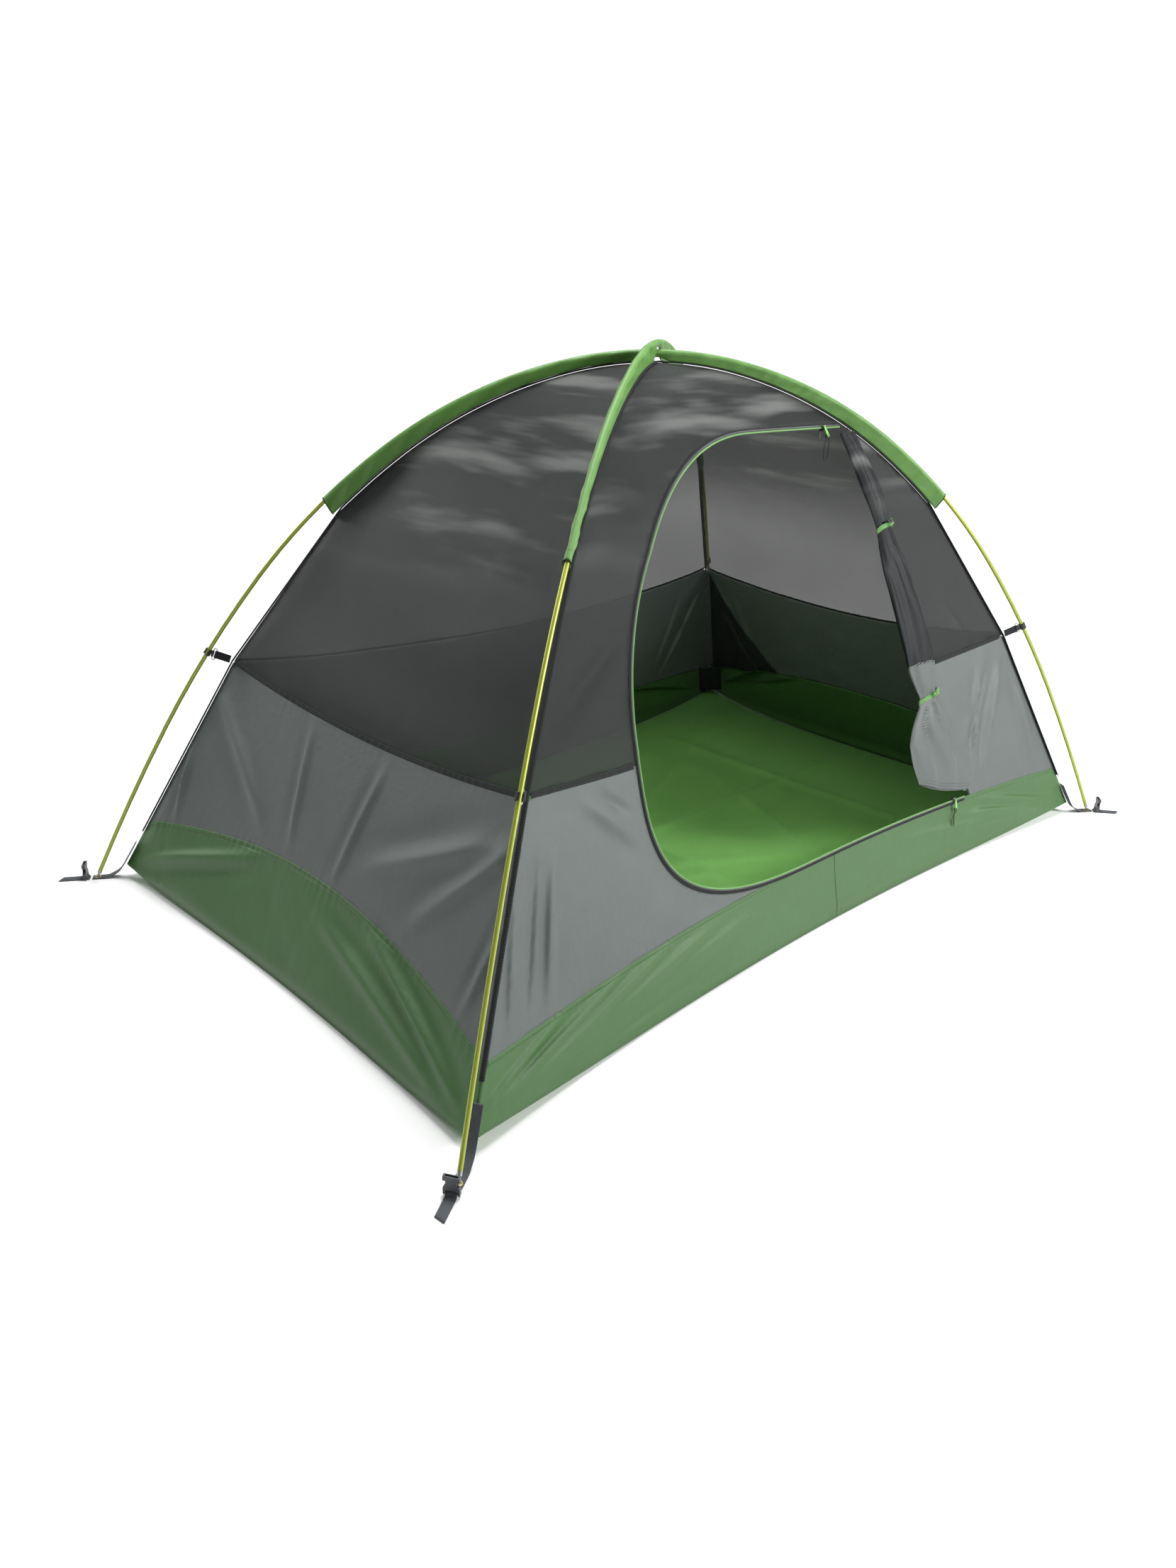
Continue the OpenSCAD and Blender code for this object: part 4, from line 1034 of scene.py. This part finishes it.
def sleeve(name, corner, bends, gap, material):
    """A sleeve from mouth to mouth over the top, as rings along its pole."""
    out_way, over_way = corner_frame(corner)
    along = np.linspace(-sleeve_end, sleeve_end, 301)
    half = np.concatenate([np.linspace(0, 1.9, 12), np.linspace(1.9, 3.4, 15)[1:]])
    ring = np.concatenate([half, 3.4 + (3.4 - half[::-1][1:])])
    sign = np.where(np.arange(len(ring)) < len(half), 1.0, -1.0)
    part = np.where(ring > 3.4, 6.8 - ring, ring)
    rows = []
    for s in along:
        way = 1.0 if s >= 0 else -1.0
        (r, z), slope = (v[0] for v in pole_line(bends, abs(s)))
        (q, h), lean_slope = (v[0] for v in pole_line(mean_bends, abs(s)))
        up_way = np.array([math.sin(slope) * way, math.cos(slope)])
        seam = np.array([q * way, h]) - 0.0255 * np.array(
            [math.sin(lean_slope) * way, math.cos(lean_slope)])
        deep = float((np.array([r * way, z]) - seam) @ up_way)
        deep = 0.0085 + (deep - 0.0085) * float(soft_step(abs(s), gap, gap + 0.030))
        drop = np.clip((part - 1.9) / 1.5, 0, 1)
        rim_y, rim_n = 0.0070 * np.sin(part), 0.0070 * np.cos(part)
        edge_y, edge_n = 0.0070 * math.sin(1.9), 0.0070 * math.cos(1.9)
        y = np.where(part <= 1.9, rim_y, edge_y + (0.0011 - edge_y) * drop ** 0.9)
        n = np.where(part <= 1.9, rim_n, edge_n + (-deep - edge_n) * drop)
        down = (0.0070 - n) / 0.032
        slant = np.sin(2 * np.pi * (s / 0.083 + 0.55 * down) + 2.2 * math.sin(s * 9 + corner))
        fine = np.sin(2 * np.pi * (s / 0.031 + 0.8 * down) + 3 * math.sin(s * 17 + 1))
        belly = np.sin(np.pi * np.clip(down, 0, 1)) * (0.4 + 0.6 * math.sin(s * 5 + corner) ** 2)
        y = sign * y + (0.0021 * slant + 0.0007 * fine) * belly
        shift = 0.008 * np.clip(down, 0, 1) * way * soft_step(abs(s), 0.70, sleeve_end)
        mid = np.array([r * way, z])
        place = mid + n[:, None] * up_way
        tangent = np.array([up_way[1], -up_way[0]])
        place = place + shift[:, None] * tangent
        rows.append(place[:, :1] * out_way + place[:, 1:] * [0, 0, 1] + y[:, None] * over_way)
    points = np.array(rows)
    girth = np.concatenate([[0], np.cumsum(np.linalg.norm(np.diff(points[80], axis=0), axis=1))])
    flat = np.stack(np.broadcast_arrays(girth, along[:, None]), -1).reshape(-1, 2)
    rows_n, cols_n = points.shape[:2]
    made = cloth_piece(name, points.reshape(-1, 3), grid_faces(rows_n, cols_n), flat, material)
    made["flat_wide"], made["flat_tall"] = float(girth[-1]), 2 * sleeve_end
    made["flat_area"] = float(girth[-1]) * 2 * sleeve_end
    return made, points


hem_lines = []
for name, corner, bends, gap in (("under", 0, under_bends, 0.0), ("over", 1, over_bends, 0.012)):
    piece, rings = sleeve("sleeve_" + name, corner, bends, gap, sleeve_green)
    shell = bmesh.new()
    shell.from_mesh(piece.data)
    bmesh.ops.remove_doubles(shell, verts=shell.verts, dist=1e-5)
    bmesh.ops.recalc_face_normals(shell, faces=shell.faces)
    shell.to_mesh(piece.data)
    shell.free()
    thicken(piece, 0.0004)
    hold_sheet(piece, "pole_sleeve_" + name, ["pole_middle_sections"])
    for end, label in ((0, "a"), (-1, "b")):
        edge = rings[end]
        mouth = tube_piece("sleeve_hem_%s_%s" % (name, label), edge, 0.0009,
                           rings[end + (1 if end == 0 else -1)][0] - edge[0], binding, 8)
        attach(mouth, "root")
        near = rings[4 if end == 0 else -5]
        middle = near.mean(0)
        out = near - middle
        out /= np.linalg.norm(out, axis=1)[:, None]
        hem_lines.append((near + out * 0.0004, out))
hem = beads("sleeve_hem_stitches", hem_lines, 0.0045, stitch, green_thread)
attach(hem, "root")


# ---- Pockets ----
# Inside, a netting triangle hangs down each short wall from one corner, and a small
# pocket hangs across the back right corner. Their free edges are bound with dark tape.
pocket_net = finish("pocket_netting", lambda s: net(s, shade(30, 32, 32), shade(50, 53, 51), 0.66),
                    Sheen_Weight=0.1, Sheen_Roughness=0.3, Specular_IOR_Level=0.2)
for side in (1, 3):
    s = np.linspace(0.5, 0.97, 48)
    low = seam_height(1, s) + 0.003
    high = low + 0.006 + (0.478 - low - 0.006) * (s - 0.5) / 0.47
    t = np.linspace(0, 1, 36)[:, None]
    height = low + (high - low) * t
    across = s * half_width(side, height)
    hang = np.abs(np.sin(np.pi * (s - 0.5) / 0.47 * 3.2)) ** 3 * np.sin(np.pi * t) ** 0.7
    depth = -0.0042 - 0.0055 * hang * soft_step(s, 0.55, 0.8) * soft_step(0.965 - s, 0, 0.05)
    flat = np.stack([across.ravel(), run_at(side, height).ravel()], 1)
    pocket = cloth_piece("gear_pocket_" + SIDES[side],
                         wall_at(side, across, height, depth).reshape(-1, 3),
                         grid_faces(*height.shape), flat, pocket_net)
    thicken(pocket, 0.0003)
    tall = run_at(side, high) - run_at(side, low)
    pocket["flat_wide"], pocket["flat_tall"] = float(np.ptp(across)), float(tall.max())
    pocket["flat_area"] = float(tall.mean() * np.ptp(across[0]))
    hold_sheet(pocket, "gear_pockets", ["lower_side_" + SIDES[side]])
    for label, edge in (("rim", high), ("foot", low)):
        line = wall_at(side, s * half_width(side, edge), edge, -0.0040)
        trim = tube_piece("gear_pocket_%s_%s" % (label, SIDES[side]), line, 0.0024,
                          face_out(side, 0.3, 0.3), binding, 10, 0.5)
        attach(trim, "root")

u, v = np.meshgrid(np.linspace(0, 1, 32), np.linspace(0, 1, 30))
height = 0.045 + 0.088 * v
r = ridge_at(height) - 0.007
one = np.stack([r * way_x - 0.005, r * way_y - 0.055], -1)
two = np.stack([r * way_x - 0.060, r * way_y - 0.009], -1)
bag = np.sin(np.pi * u) ** 0.8 * (0.35 + 0.65 * np.sin(np.pi * np.clip(1 - v, 0.05, 1)))
pleat = 1 + 0.35 * np.sin(u * 26) * (1 - v)
spot = one + (two - one) * u[..., None] - (0.007 * bag * pleat)[..., None]
corner_bag = cloth_piece("corner_bag", np.concatenate([spot, height[..., None]], -1).reshape(-1, 3),
                         grid_faces(*u.shape), np.stack([u.ravel() * 0.072, v.ravel() * 0.09], 1),
                         pocket_net)
thicken(corner_bag, 0.0003)
corner_bag["flat_wide"], corner_bag["flat_tall"], corner_bag["flat_area"] = 0.080, 0.090, 0.0072
hold_sheet(corner_bag, "corner_pocket", ["tub_side_back"])
for label, row in (("rim", -1), ("foot", 0)):
    line = np.concatenate([spot[row], height[row][:, None]], -1)
    trim = tube_piece("corner_bag_" + label, line, (0.0014, 0.0045)[row], (1, 1, 0), binding, 10, 0.4)
    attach(trim, "root")

# ---- Door zip ----
# A coil zip runs round the door from the foot of the hinge seam to its top. Its tape is
# dark, its teeth are grey, and light-green piping edges it on the side of the opening.
piping = finish("green_piping", lambda s: ribbed_tape(
    s, shade(106, 152, 84), shade(136, 180, 112), 0.0009), Sheen_Weight=0.1)


def teeth_finish(start):
    grain = noise(start, placed(start), 500)
    return {"Base Color": grain.mix(shade(96, 99, 100), shade(132, 134, 134)),
            "Roughness": 0.32 + grain * 0.2}


track = [evenly(zip_line(grow, 0.565, 0.346), 0.007) for grow in (0.0, 0.009)]
count = min(len(line) for line in track)
share = np.linspace(0, 1, count)
lines = [np.stack([np.interp(share, np.linspace(0, 1, len(line)), line[:, k])
                   for k in (0, 1)], 1) for line in track]
t = np.linspace(0, 1, 9)[:, None]
x, z = (lines[0][:, k] + (lines[1][:, k] - lines[0][:, k]) * t for k in (0, 1))
proud = 0.0034 - 0.0020 * t + 0.0005 * np.sin(np.pi * t)
flat = np.stack(np.broadcast_arrays(share * 3.0, t * 0.012), -1).reshape(-1, 2)
zip_cloth = cloth_piece("zip_tape", wall_at(0, x, z, proud).reshape(-1, 3),
                        grid_faces(9, count), flat, binding)
thicken(zip_cloth, 0.0006)
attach(zip_cloth, "root")
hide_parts("door_zip_tape")
coil_line = lines[0] + (lines[1] - lines[0]) * 0.30
coil = beads("zip_teeth", [on_wall(0, coil_line[:, 0], coil_line[:, 1], 0.0044)], 0.0018,
             (0.0011, 0.0046, 0.0020), finish("zip_teeth", teeth_finish))
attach(coil, "root")
edge = wall_at(0, lines[0][:, 0], lines[0][:, 1], 0.0034)
pipe = tube_piece("zip_piping", edge, 0.0018, face_out(0, 0.0, 0.5), piping, 10)
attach(pipe, "root")
outer_line = lines[0] + (lines[1] - lines[0]) * 0.84
row = beads("zip_stitches", [on_wall(0, outer_line[:, 0], outer_line[:, 1], 0.0026)], 0.0048,
            stitch, dark_thread)
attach(row, "root")
seam = hinge_line(-0.001, 70)
hinge_tape = wall_strip("hinge_tape", 0, seam[:, 0] + 0.004, seam[:, 1], 0.0035, 0.0002, 0.0008,
                        binding, 5)
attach(hinge_tape, "root")
row = beads("hinge_stitches", [on_wall(0, seam[:, 0] + 0.0065, seam[:, 1], 0.0012)], 0.0048,
            stitch, dark_thread)
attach(row, "root")

# ---- Rolled door ----
# The door is rolled towards its hinge seam, netting above and grey cloth below, and is
# nipped in by two ties. Its loose foot fans out below the lower tie.
roll_up = {"left": ([.165, .200, .240, .280, .330, .385, .455, .560, .670, .757, .840, .940],
                    [.372, .360, .352, .350, .370, .419, .374, .356, .344, .352, .330, .322]),
           "right": ([.165, .240, .340, .385, .455, .560, .670, .757, .840, .940],
                     [.577, .552, .502, .474, .474, .452, .420, .394, .386, .368]),
           "half": ([.165, .240, .340, .385, .455, .670, .757, .840, .940],
                    [.007, .014, .015, .010, .016, .017, .011, .013, .008])}
low_half = door_centre[1] - door_base(door_centre[0])


def eased(z, name):
    """A measure of the roll, with the corners of its table rounded off."""
    near = np.array([-0.012, -0.006, 0, 0.006, 0.012])
    return np.mean([np.interp(z + d, *roll_up[name]) for d in near], axis=0)


def door_width(z):
    rise = np.clip((z - door_centre[1]) / 0.518, 0, 1)
    fall = np.clip((door_centre[1] - z) / low_half, 0, 1) ** 1.5
    reach = np.where(z > door_centre[1], np.sqrt(1 - rise ** 2), (1 - fall ** 2) ** (1 / 3))
    down = (door_top - z) / (door_top - door_base(0.585))
    return 0.372 + 0.213 * down - 0.168 * down * (1 - down) - (0.060 - 0.540 * reach)


def rolled(name, heights, node, material):
    """A rolled part of the door: from the hinge seam round and round into its middle."""
    z = np.asarray(heights)[:, None]
    left, right, half = (eased(z, key) for key in ("left", "right", "half"))
    mid, wide = (left + right) / 2, (right - left) / 2
    girth = 2 * np.pi * np.sqrt((wide ** 2 + half ** 2) / 2)
    turns = np.clip(door_width(z) / (girth * 0.60), 3.5, 9.5)
    t = np.linspace(0, 1, 330)
    q = math.radians(40) - 2 * np.pi * turns * t
    pleats = 1 + 0.05 * np.sin(3 * q + 16 * z) + 0.03 * np.sin(7 * q - 21 * z + 1)
    size = (1 - 0.78 * t) * pleats
    x = mid + wide * size * np.cos(q)
    out = 0.008 + half - half * size * np.sin(q)
    # Deep pleats run out of both ties, in all the layers alike
    over = (x - mid) / wide
    bunch = sum(np.exp(-np.abs(z - tie) / 0.11) for tie in (0.385, 0.757))
    fan = soft_step(0.385 - z, 0, 0.09) * soft_step(z, 0.15, 0.23)
    ridges = (np.abs(np.sin(4.3 * over + 5 * z + 0.8 * np.sin(19 * z))) ** 0.8 - 0.6
              + 0.5 * np.sin(11 * over - 13 * z) * bunch + 0.6 * np.sin(6.5 * over + 22 * z) * fan)
    snug = 1 - 0.6 * sum(np.exp(-np.abs(z - tie) / 0.012) for tie in (0.385, 0.757))
    ridges = snug * (np.minimum(ridges, 0.5) - 0.45)
    out += 0.0075 * (0.7 + 0.4 * bunch + 0.4 * fan) * ridges * (out - 0.008) / (2 * half)
    down = (door_top - z) / (door_top - door_base(0.585))
    hinge = 0.372 + 0.213 * down - 0.168 * down * (1 - down) + 0.0015
    lead = np.linspace(0, 1, 7)[:-1]
    x = np.hstack([hinge + (x[:, :1] - hinge) * lead, x])
    out = np.hstack([0.0012 + (out[:, :1] - 0.0012) * lead ** 1.5, out])
    # The loose foot hangs higher the further it is from the hinge seam
    away = np.maximum(0.578 - x, 0)
    tall = z + (0.1 * away + 0.9 * away ** 2 - 0.009) * soft_step(0.34 - z, 0, 0.18)
    run = np.hstack([lead * 0.02, 0.02 + t * 0.9])
    flat = np.stack(np.broadcast_arrays(run * np.ones_like(z), run_at(0, z)), -1).reshape(-1, 2)
    points = wall_at(0, x, tall, out, taut=True)
    made = cloth_piece(name, points.reshape(-1, 3), [f[::-1] for f in grid_faces(*x.shape)],
                       flat, material)
    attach(made, "door_roll")
    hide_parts(node)
    width = door_width(z)[:, 0]
    run = run_at(0, z[:, 0])
    area = float(np.sum((width[1:] + width[:-1]) / 2 * np.diff(run)))
    return points


# Painted shade: the rolled netting is coloured darker than the wall netting, standing in for shade
# between the roll's layers
roll_net_painted_shade = finish("rolled_netting_painted_shade", lambda s: net(s, shade(12, 14, 16), shade(30, 33, 36), 0.9),
                  Sheen_Weight=0.05, Sheen_Roughness=0.25, Specular_IOR_Level=0.2)
rolled("rolled_door_net", np.linspace(0.458, 0.952, 64), "door_roll_mesh", roll_net_painted_shade)
cloth_rings = rolled("rolled_door_cloth", np.linspace(0.160, 0.462, 52), "door_roll_wall",
                     wall_grey)
hem_rows = []
for row in (1, 2):
    turn = cloth_rings[row, 8:70]
    middle = cloth_rings[row].mean(0)
    out = turn - middle
    hem_rows.append((turn + out / np.linalg.norm(out, axis=1)[:, None] * 0.0004, out))
hem = beads("rolled_door_hem", hem_rows, 0.0048, stitch, dark_thread)
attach(hem, "door_roll")

# ---- Ties and toggles ----
# Each tie is a green ribbon sewn to the hinge seam and drawn round the roll. A small
# moulded toggle goes through the loop at its end and holds it.
ribbon = finish("green_ribbon", lambda s: ribbed_tape(
    s, shade(84, 132, 66), shade(112, 162, 92), 0.0010), Sheen_Weight=0.1)


def moulded(start, colour, light):
    """Injection-moulded nylon: a fine spark-eroded grain and lightly rubbed high spots."""
    where = placed(start)
    grain = noise(start, where, 1400, 3, 0.6)
    rub = noise(start, where, 60, 3).between(0.55, 0.75)
    return {"Base Color": (rub * 0.5 + grain * 0.15).mix(colour, light),
            "Roughness": 0.38 + grain * 0.15 + rub * 0.08, "Normal": bump(start, grain, 0.00005)}


for tie, z0, node in (("lower", 0.385, "door_tie_lower"), ("upper", 0.757, "door_tie_upper")):
    q = np.linspace(0, 2 * np.pi, 97)
    t = np.linspace(-1, 1, 5)[:, None]
    z = z0 + t * 0.0050 + 0.0045 * np.cos(q)
    left, right, half = (eased(z, key) for key in ("left", "right", "half"))
    mid, wide = (left + right) / 2, (right - left) / 2
    snug = 1.0 + 0.015 * np.sin(9 * q)
    x = mid + (wide * 1.03 + 0.0022) * snug * np.cos(q)
    out = 0.008 + half + (half * 0.98 + 0.0016) * snug * np.sin(q)
    flat = np.stack(np.broadcast_arrays(q * 0.017, t * 0.005), -1).reshape(-1, 2)
    band = cloth_piece("tie_ribbon_" + tie, wall_at(0, x, z, out, taut=True).reshape(-1, 3),
                       grid_faces(*x.shape), flat, ribbon)
    thicken(band, 0.0008, 1.0)
    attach(band, "door_roll")
    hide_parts(node)
    middle = float(np.interp(z0, *roll_up["left"]) + np.interp(z0, *roll_up["right"])) / 2
    front = 0.008 + 2 * float(np.interp(z0, *roll_up["half"]))
    hook = np.array([[0.0042, front + 0.003], [0.0046, front + 0.009], [0.0036, front + 0.0155],
                     [0, front + 0.0185], [-0.0036, front + 0.0155], [-0.0046, front + 0.009],
                     [-0.0042, front + 0.003]])
    loop = smooth_line(wall_at(0, middle, z0 + hook[:, 0], hook[:, 1], taut=True), 5)
    eye_loop = tube_piece("tie_loop_" + tie, loop, 0.0009, (1, 0, 0), ribbon, 10)
    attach(eye_loop, "door_roll")
    edge = float(np.interp(z0, *roll_up["right"]))
    tail_x = edge + np.linspace(-0.004, 0.024, 14)
    tail_z = z0 + 0.002 + np.linspace(0, 0.016, 14)
    tail_out = 0.011 + 0.003 * np.sin(np.linspace(0, 3.6, 14))
    t = np.linspace(-1, 1, 5)[:, None]
    flat = np.stack(np.broadcast_arrays(tail_x, t * 0.004), -1).reshape(-1, 2)
    tail = cloth_piece("tie_tail_" + tie, wall_at(
        0, tail_x - t * 0.0022, tail_z + t * 0.0042, tail_out, taut=True).reshape(-1, 3),
        grid_faces(5, 14), flat, ribbon)
    thicken(tail, 0.0008)
    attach(tail, "door_roll")
finish_node("tie_toggle_upper", finish("dark_nylon", lambda s: moulded(
    s, shade(26, 27, 28), shade(62, 64, 65))))
finish_node("tie_toggle_lower", finish("green_nylon", lambda s: moulded(
    s, shade(96, 148, 72), shade(134, 182, 108))))

# ---- Zip sliders ----
# Die-cast sliders ride on the zip's coil. The outer pulls are enamelled green and the
# inner one dark, each with a hole for its cord.


def enamel(start, colour, chipped):
    """Sprayed enamel on a die casting: orange peel, and bare metal at the rubbed spots."""
    where = placed(start)
    peel = noise(start, where, 700, 2)
    chip = noise(start, where, 260, 4, 0.7).between(0.66, 0.70)
    return {"Base Color": chip.mix(colour, chipped), "Roughness": 0.28 + peel * 0.2,
            "Metallic": chip * 0.9, "Normal": bump(start, peel, 0.00006)}


cast_metal = finish("cast_slider", lambda s: anodised(s, shade(92, 94, 96), shade(140, 142, 145)),
                    Metallic=0.9)
green_enamel = finish("green_enamel", lambda s: enamel(s, shade(120, 176, 92), shade(170, 170, 168)),
                      Coat_Weight=0.3)
dark_enamel = finish("dark_enamel", lambda s: enamel(s, shade(30, 32, 33), shade(120, 120, 120)),
                     Coat_Weight=0.3)
for node, material in (("zip_slider_upper", cast_metal), ("zip_slider_lower", cast_metal),
                       ("upper_pull_outer", green_enamel), ("lower_pull", green_enamel),
                       ("upper_pull_inner", dark_enamel)):
    finish_node(node, material)

# ---- Corner webbing ----
# At each foot a strap of grey polypropylene webbing is box-stitched to the canopy corner.
# A brass eyelet in it takes the pole's tip, and its end passes round a buckle's bar.
webbing = finish("corner_webbing", lambda s: ribbed_tape(s, shade(62, 65, 69), shade(92, 95, 99), .0021),
                 Sheen_Weight=0.05, Specular_IOR_Level=0.25)


def band_piece(name, line, over, half, thick, material, slant=0.0):
    """A strap along a line, with rounded edges; slant shears its far end."""
    line = np.asarray(line)
    way = np.gradient(line, axis=0)
    way /= np.linalg.norm(way, axis=1)[:, None]
    over = np.broadcast_to(np.asarray(over, float), line.shape)
    face = np.cross(over, way)
    a = np.linspace(0, 2 * np.pi, 25)
    y = np.sign(np.cos(a)) * np.abs(np.cos(a)) ** 0.35 * half
    n = np.sign(np.sin(a)) * np.abs(np.sin(a)) ** 0.6 * thick / 2
    run = np.concatenate([[0], np.cumsum(np.linalg.norm(np.diff(line, axis=0), axis=1))])
    shear = slant * (y / half)[None] * soft_step(run, run[-1] - 0.012, run[-1])[:, None]
    points = (line[:, None] + y[None, :, None] * over[:, None] + n[None, :, None] * face[:, None]
              + shear[..., None] * way[:, None])
    flat = np.stack(np.broadcast_arrays(run[:, None], y[None]), -1).reshape(-1, 2)
    made = cloth_piece(name, points.reshape(-1, 3), grid_faces(len(line), 25), flat, material)
    shell = bmesh.new()
    shell.from_mesh(made.data)
    bmesh.ops.remove_doubles(shell, verts=shell.verts, dist=1e-6)
    bmesh.ops.holes_fill(shell, edges=[e for e in shell.edges if e.is_boundary])
    bmesh.ops.recalc_face_normals(shell, faces=shell.faces)
    shell.to_mesh(made.data)
    shell.free()
    return made


CORNERS = ("front_right", "front_left", "back_left", "back_right")
turned = (-20, 0, 0, 8)
box_lines = []
for corner, label in enumerate(CORNERS):
    out_way, over_way = corner_frame(corner)
    out_turned, over_turned = (Matrix.Rotation(math.radians(turned[corner]), 3, "Z") @ Vector(w)
                               for w in (out_way, over_way))
    fall = smooth_line([[ridge_at(0.078) + 0.0040, 0.080], [ridge_at(0.064) + 0.0040, 0.066],
                        [1.1760, 0.032], [1.1890, 0.0150], [1.2050, 0.0055], [1.2160, 0.0012],
                        [foot_out, 0.0008], [foot_out + 0.010, 0.0008]], 8)
    fall[:, 1] = np.maximum(fall[:, 1], 0.0008)
    strap = band_piece("foot_strap_" + label, fall[:, :1] * out_way + fall[:, 1:] * [0, 0, 1],
                       over_way, 0.010, 0.0015, webbing)
    bpy.ops.mesh.primitive_cylinder_add(vertices=40, radius=0.0047, depth=0.01)
    punch = bpy.context.object
    punch.data.transform(Matrix.Translation(Vector(out_way) * (foot_out - 0.0012)))
    cut = strap.modifiers.new("eyelet", "BOOLEAN")
    cut.object, cut.operation, cut.solver = punch, "DIFFERENCE", "EXACT"
    graph = bpy.context.evaluated_depsgraph_get()
    holed = bpy.data.meshes.new_from_object(strap.evaluated_get(graph), depsgraph=graph)
    strap.modifiers.clear()
    strap.data = holed
    bpy.data.objects.remove(punch)
    foot = np.array(out_way) * foot_out
    tail = smooth_line([[0.0150, 0.0008], [0.0170, 0.0010], [0.0205, 0.0062], [0.0240, 0.0084],
                        [0.0275, 0.0062], [0.0310, 0.0010], [0.0400, 0.0008], [0.0760, 0.0008]], 8)
    tail[:, 1] = np.maximum(tail[:, 1], 0.0008)
    tail_line = foot + tail[:, :1] * np.array(out_turned) + tail[:, 1:] * [0, 0, 1]
    free_end = band_piece("strap_end_" + label, tail_line, np.array(over_turned), 0.0095, 0.0015,
                          webbing, 0.0045)
    for piece in (strap, free_end):
        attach(piece, "root")
    if corner == 0:
        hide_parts("corner_webbing")
    # A box and a cross of stitches on the canopy, and a bar tack behind the buckle
    top, low = fall[2], fall[15]
    square = np.array([0.98, 0.2])
    for (a, b) in (((0, -1), (0, 1)), ((1, -1), (1, 1)), ((0, -1), (1, -1)), ((0, 1), (1, 1)),
                   ((0, -1), (1, 1)), ((0, 1), (1, -1))):
        ends = [(top + (low - top) * p[0] + square * 0.0011, p[1] * 0.0082) for p in (a, b)]
        line = np.array([e[0][0] * out_way + e[0][1] * np.array([0, 0, 1]) + e[1] * over_way
                         for e in ends])
        line = line[0] + (line[1] - line[0]) * np.linspace(0, 1, 8)[:, None]
        box_lines.append((line, np.broadcast_to(out_way, line.shape)))
    for back_off in (0.0335, 0.0350, 0.0365):
        line = (foot + back_off * np.array(out_turned) + [0, 0, 0.0018]
                + np.linspace(-0.0085, 0.0085, 8)[:, None] * np.array(over_turned))
        box_lines.append((line, np.broadcast_to([0, 0, 1.0], line.shape)))
box_rows = beads("box_stitches", box_lines, 0.0036, (0.0030, 0.0010, 0.0007), dark_thread)
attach(box_rows, "root")
finish_node("corner_eyelets", finish("eyelet_brass", lambda s: anodised(
    s, shade(196, 182, 128), shade(232, 224, 190)), Metallic=1.0))
buckle_nylon = finish("buckle_nylon", lambda s: moulded(s, shade(60, 62, 66), shade(92, 95, 99)))
for label in CORNERS:
    finish_node("buckle_" + label, buckle_nylon)

# ---- Pole clips ----
# From each upper corner a black strap holds a plated wire ring, and a moulded hook on the
# ring clips round the pole. The strap is folded round the ring and stitched to itself.
clip_webbing = finish("clip_webbing", lambda s: ribbed_tape(
    s, shade(26, 27, 28), shade(48, 50, 51), .0016),
                      Sheen_Weight=0.05, Specular_IOR_Level=0.25)
clip_nylon = finish("clip_nylon", lambda s: moulded(s, shade(24, 25, 27), shade(58, 60, 62)))
ring_plate = finish("ring_plate", lambda s: anodised(s, shade(206, 208, 210), shade(160, 163, 166)),
                    Metallic=0.85, Coat_Weight=0.3)
root_spot = np.array([0.900, 0.490]) + 0.0065 * np.array([math.cos(math.radians(33)),
                                                         math.sin(math.radians(33))])
for corner, label in enumerate(CORNERS):
    out_way, over_way = corner_frame(corner)
    bends = (under_bends, over_bends)[corner % 2]
    reach_to = pole_line(bends, 1.177)[0][0] - root_spot
    far = float(np.hypot(*reach_to))
    ahead = reach_to / far
    ahead_way = ahead[0] * out_way + ahead[1] * np.array([0, 0, 1])
    up_way = -ahead[1] * out_way + ahead[0] * np.array([0, 0, 1])
    ring_x = far - 0.0172
    bend = np.radians(np.linspace(150, -150, 25))
    path = np.vstack([[[0.0014, 0.0010], [ring_x * 0.5, 0.0010]],
                      np.stack([ring_x + 0.0029 * np.cos(bend), 0.0029 * np.sin(bend)], 1),
                      [[ring_x * 0.5, -0.0010], [0.0014, -0.0010]]])
    path = np.array(evenly(path, 0.0012))
    line = (root_spot[0] * out_way + root_spot[1] * np.array([0, 0, 1])
            + path[:, :1] * ahead_way + path[:, 1:] * over_way)
    strap = band_piece("clip_webbing_" + label, line, up_way, 0.0080, 0.0010, clip_webbing)
    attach(strap, "pole_clip_" + label)
    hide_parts("clip_strap_" + label)
    tack = []
    for x in (ring_x - 0.0046, ring_x - 0.0060):
        for side_way in (1, -1):
            row = (root_spot[0] * out_way + root_spot[1] * np.array([0, 0, 1]) + x * ahead_way
                   + side_way * 0.0019 * over_way
                   + np.linspace(-0.0070, 0.0070, 8)[:, None] * up_way)
            tack.append((row, np.broadcast_to(side_way * over_way, row.shape)))
    tacks = beads("clip_tack_" + label, tack, 0.0030, (0.0026, 0.0009, 0.0006), dark_thread)
    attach(tacks, "pole_clip_" + label)
    finish_node("clip_ring_" + label, ring_plate)
    finish_node("pole_clip_" + label, clip_nylon)
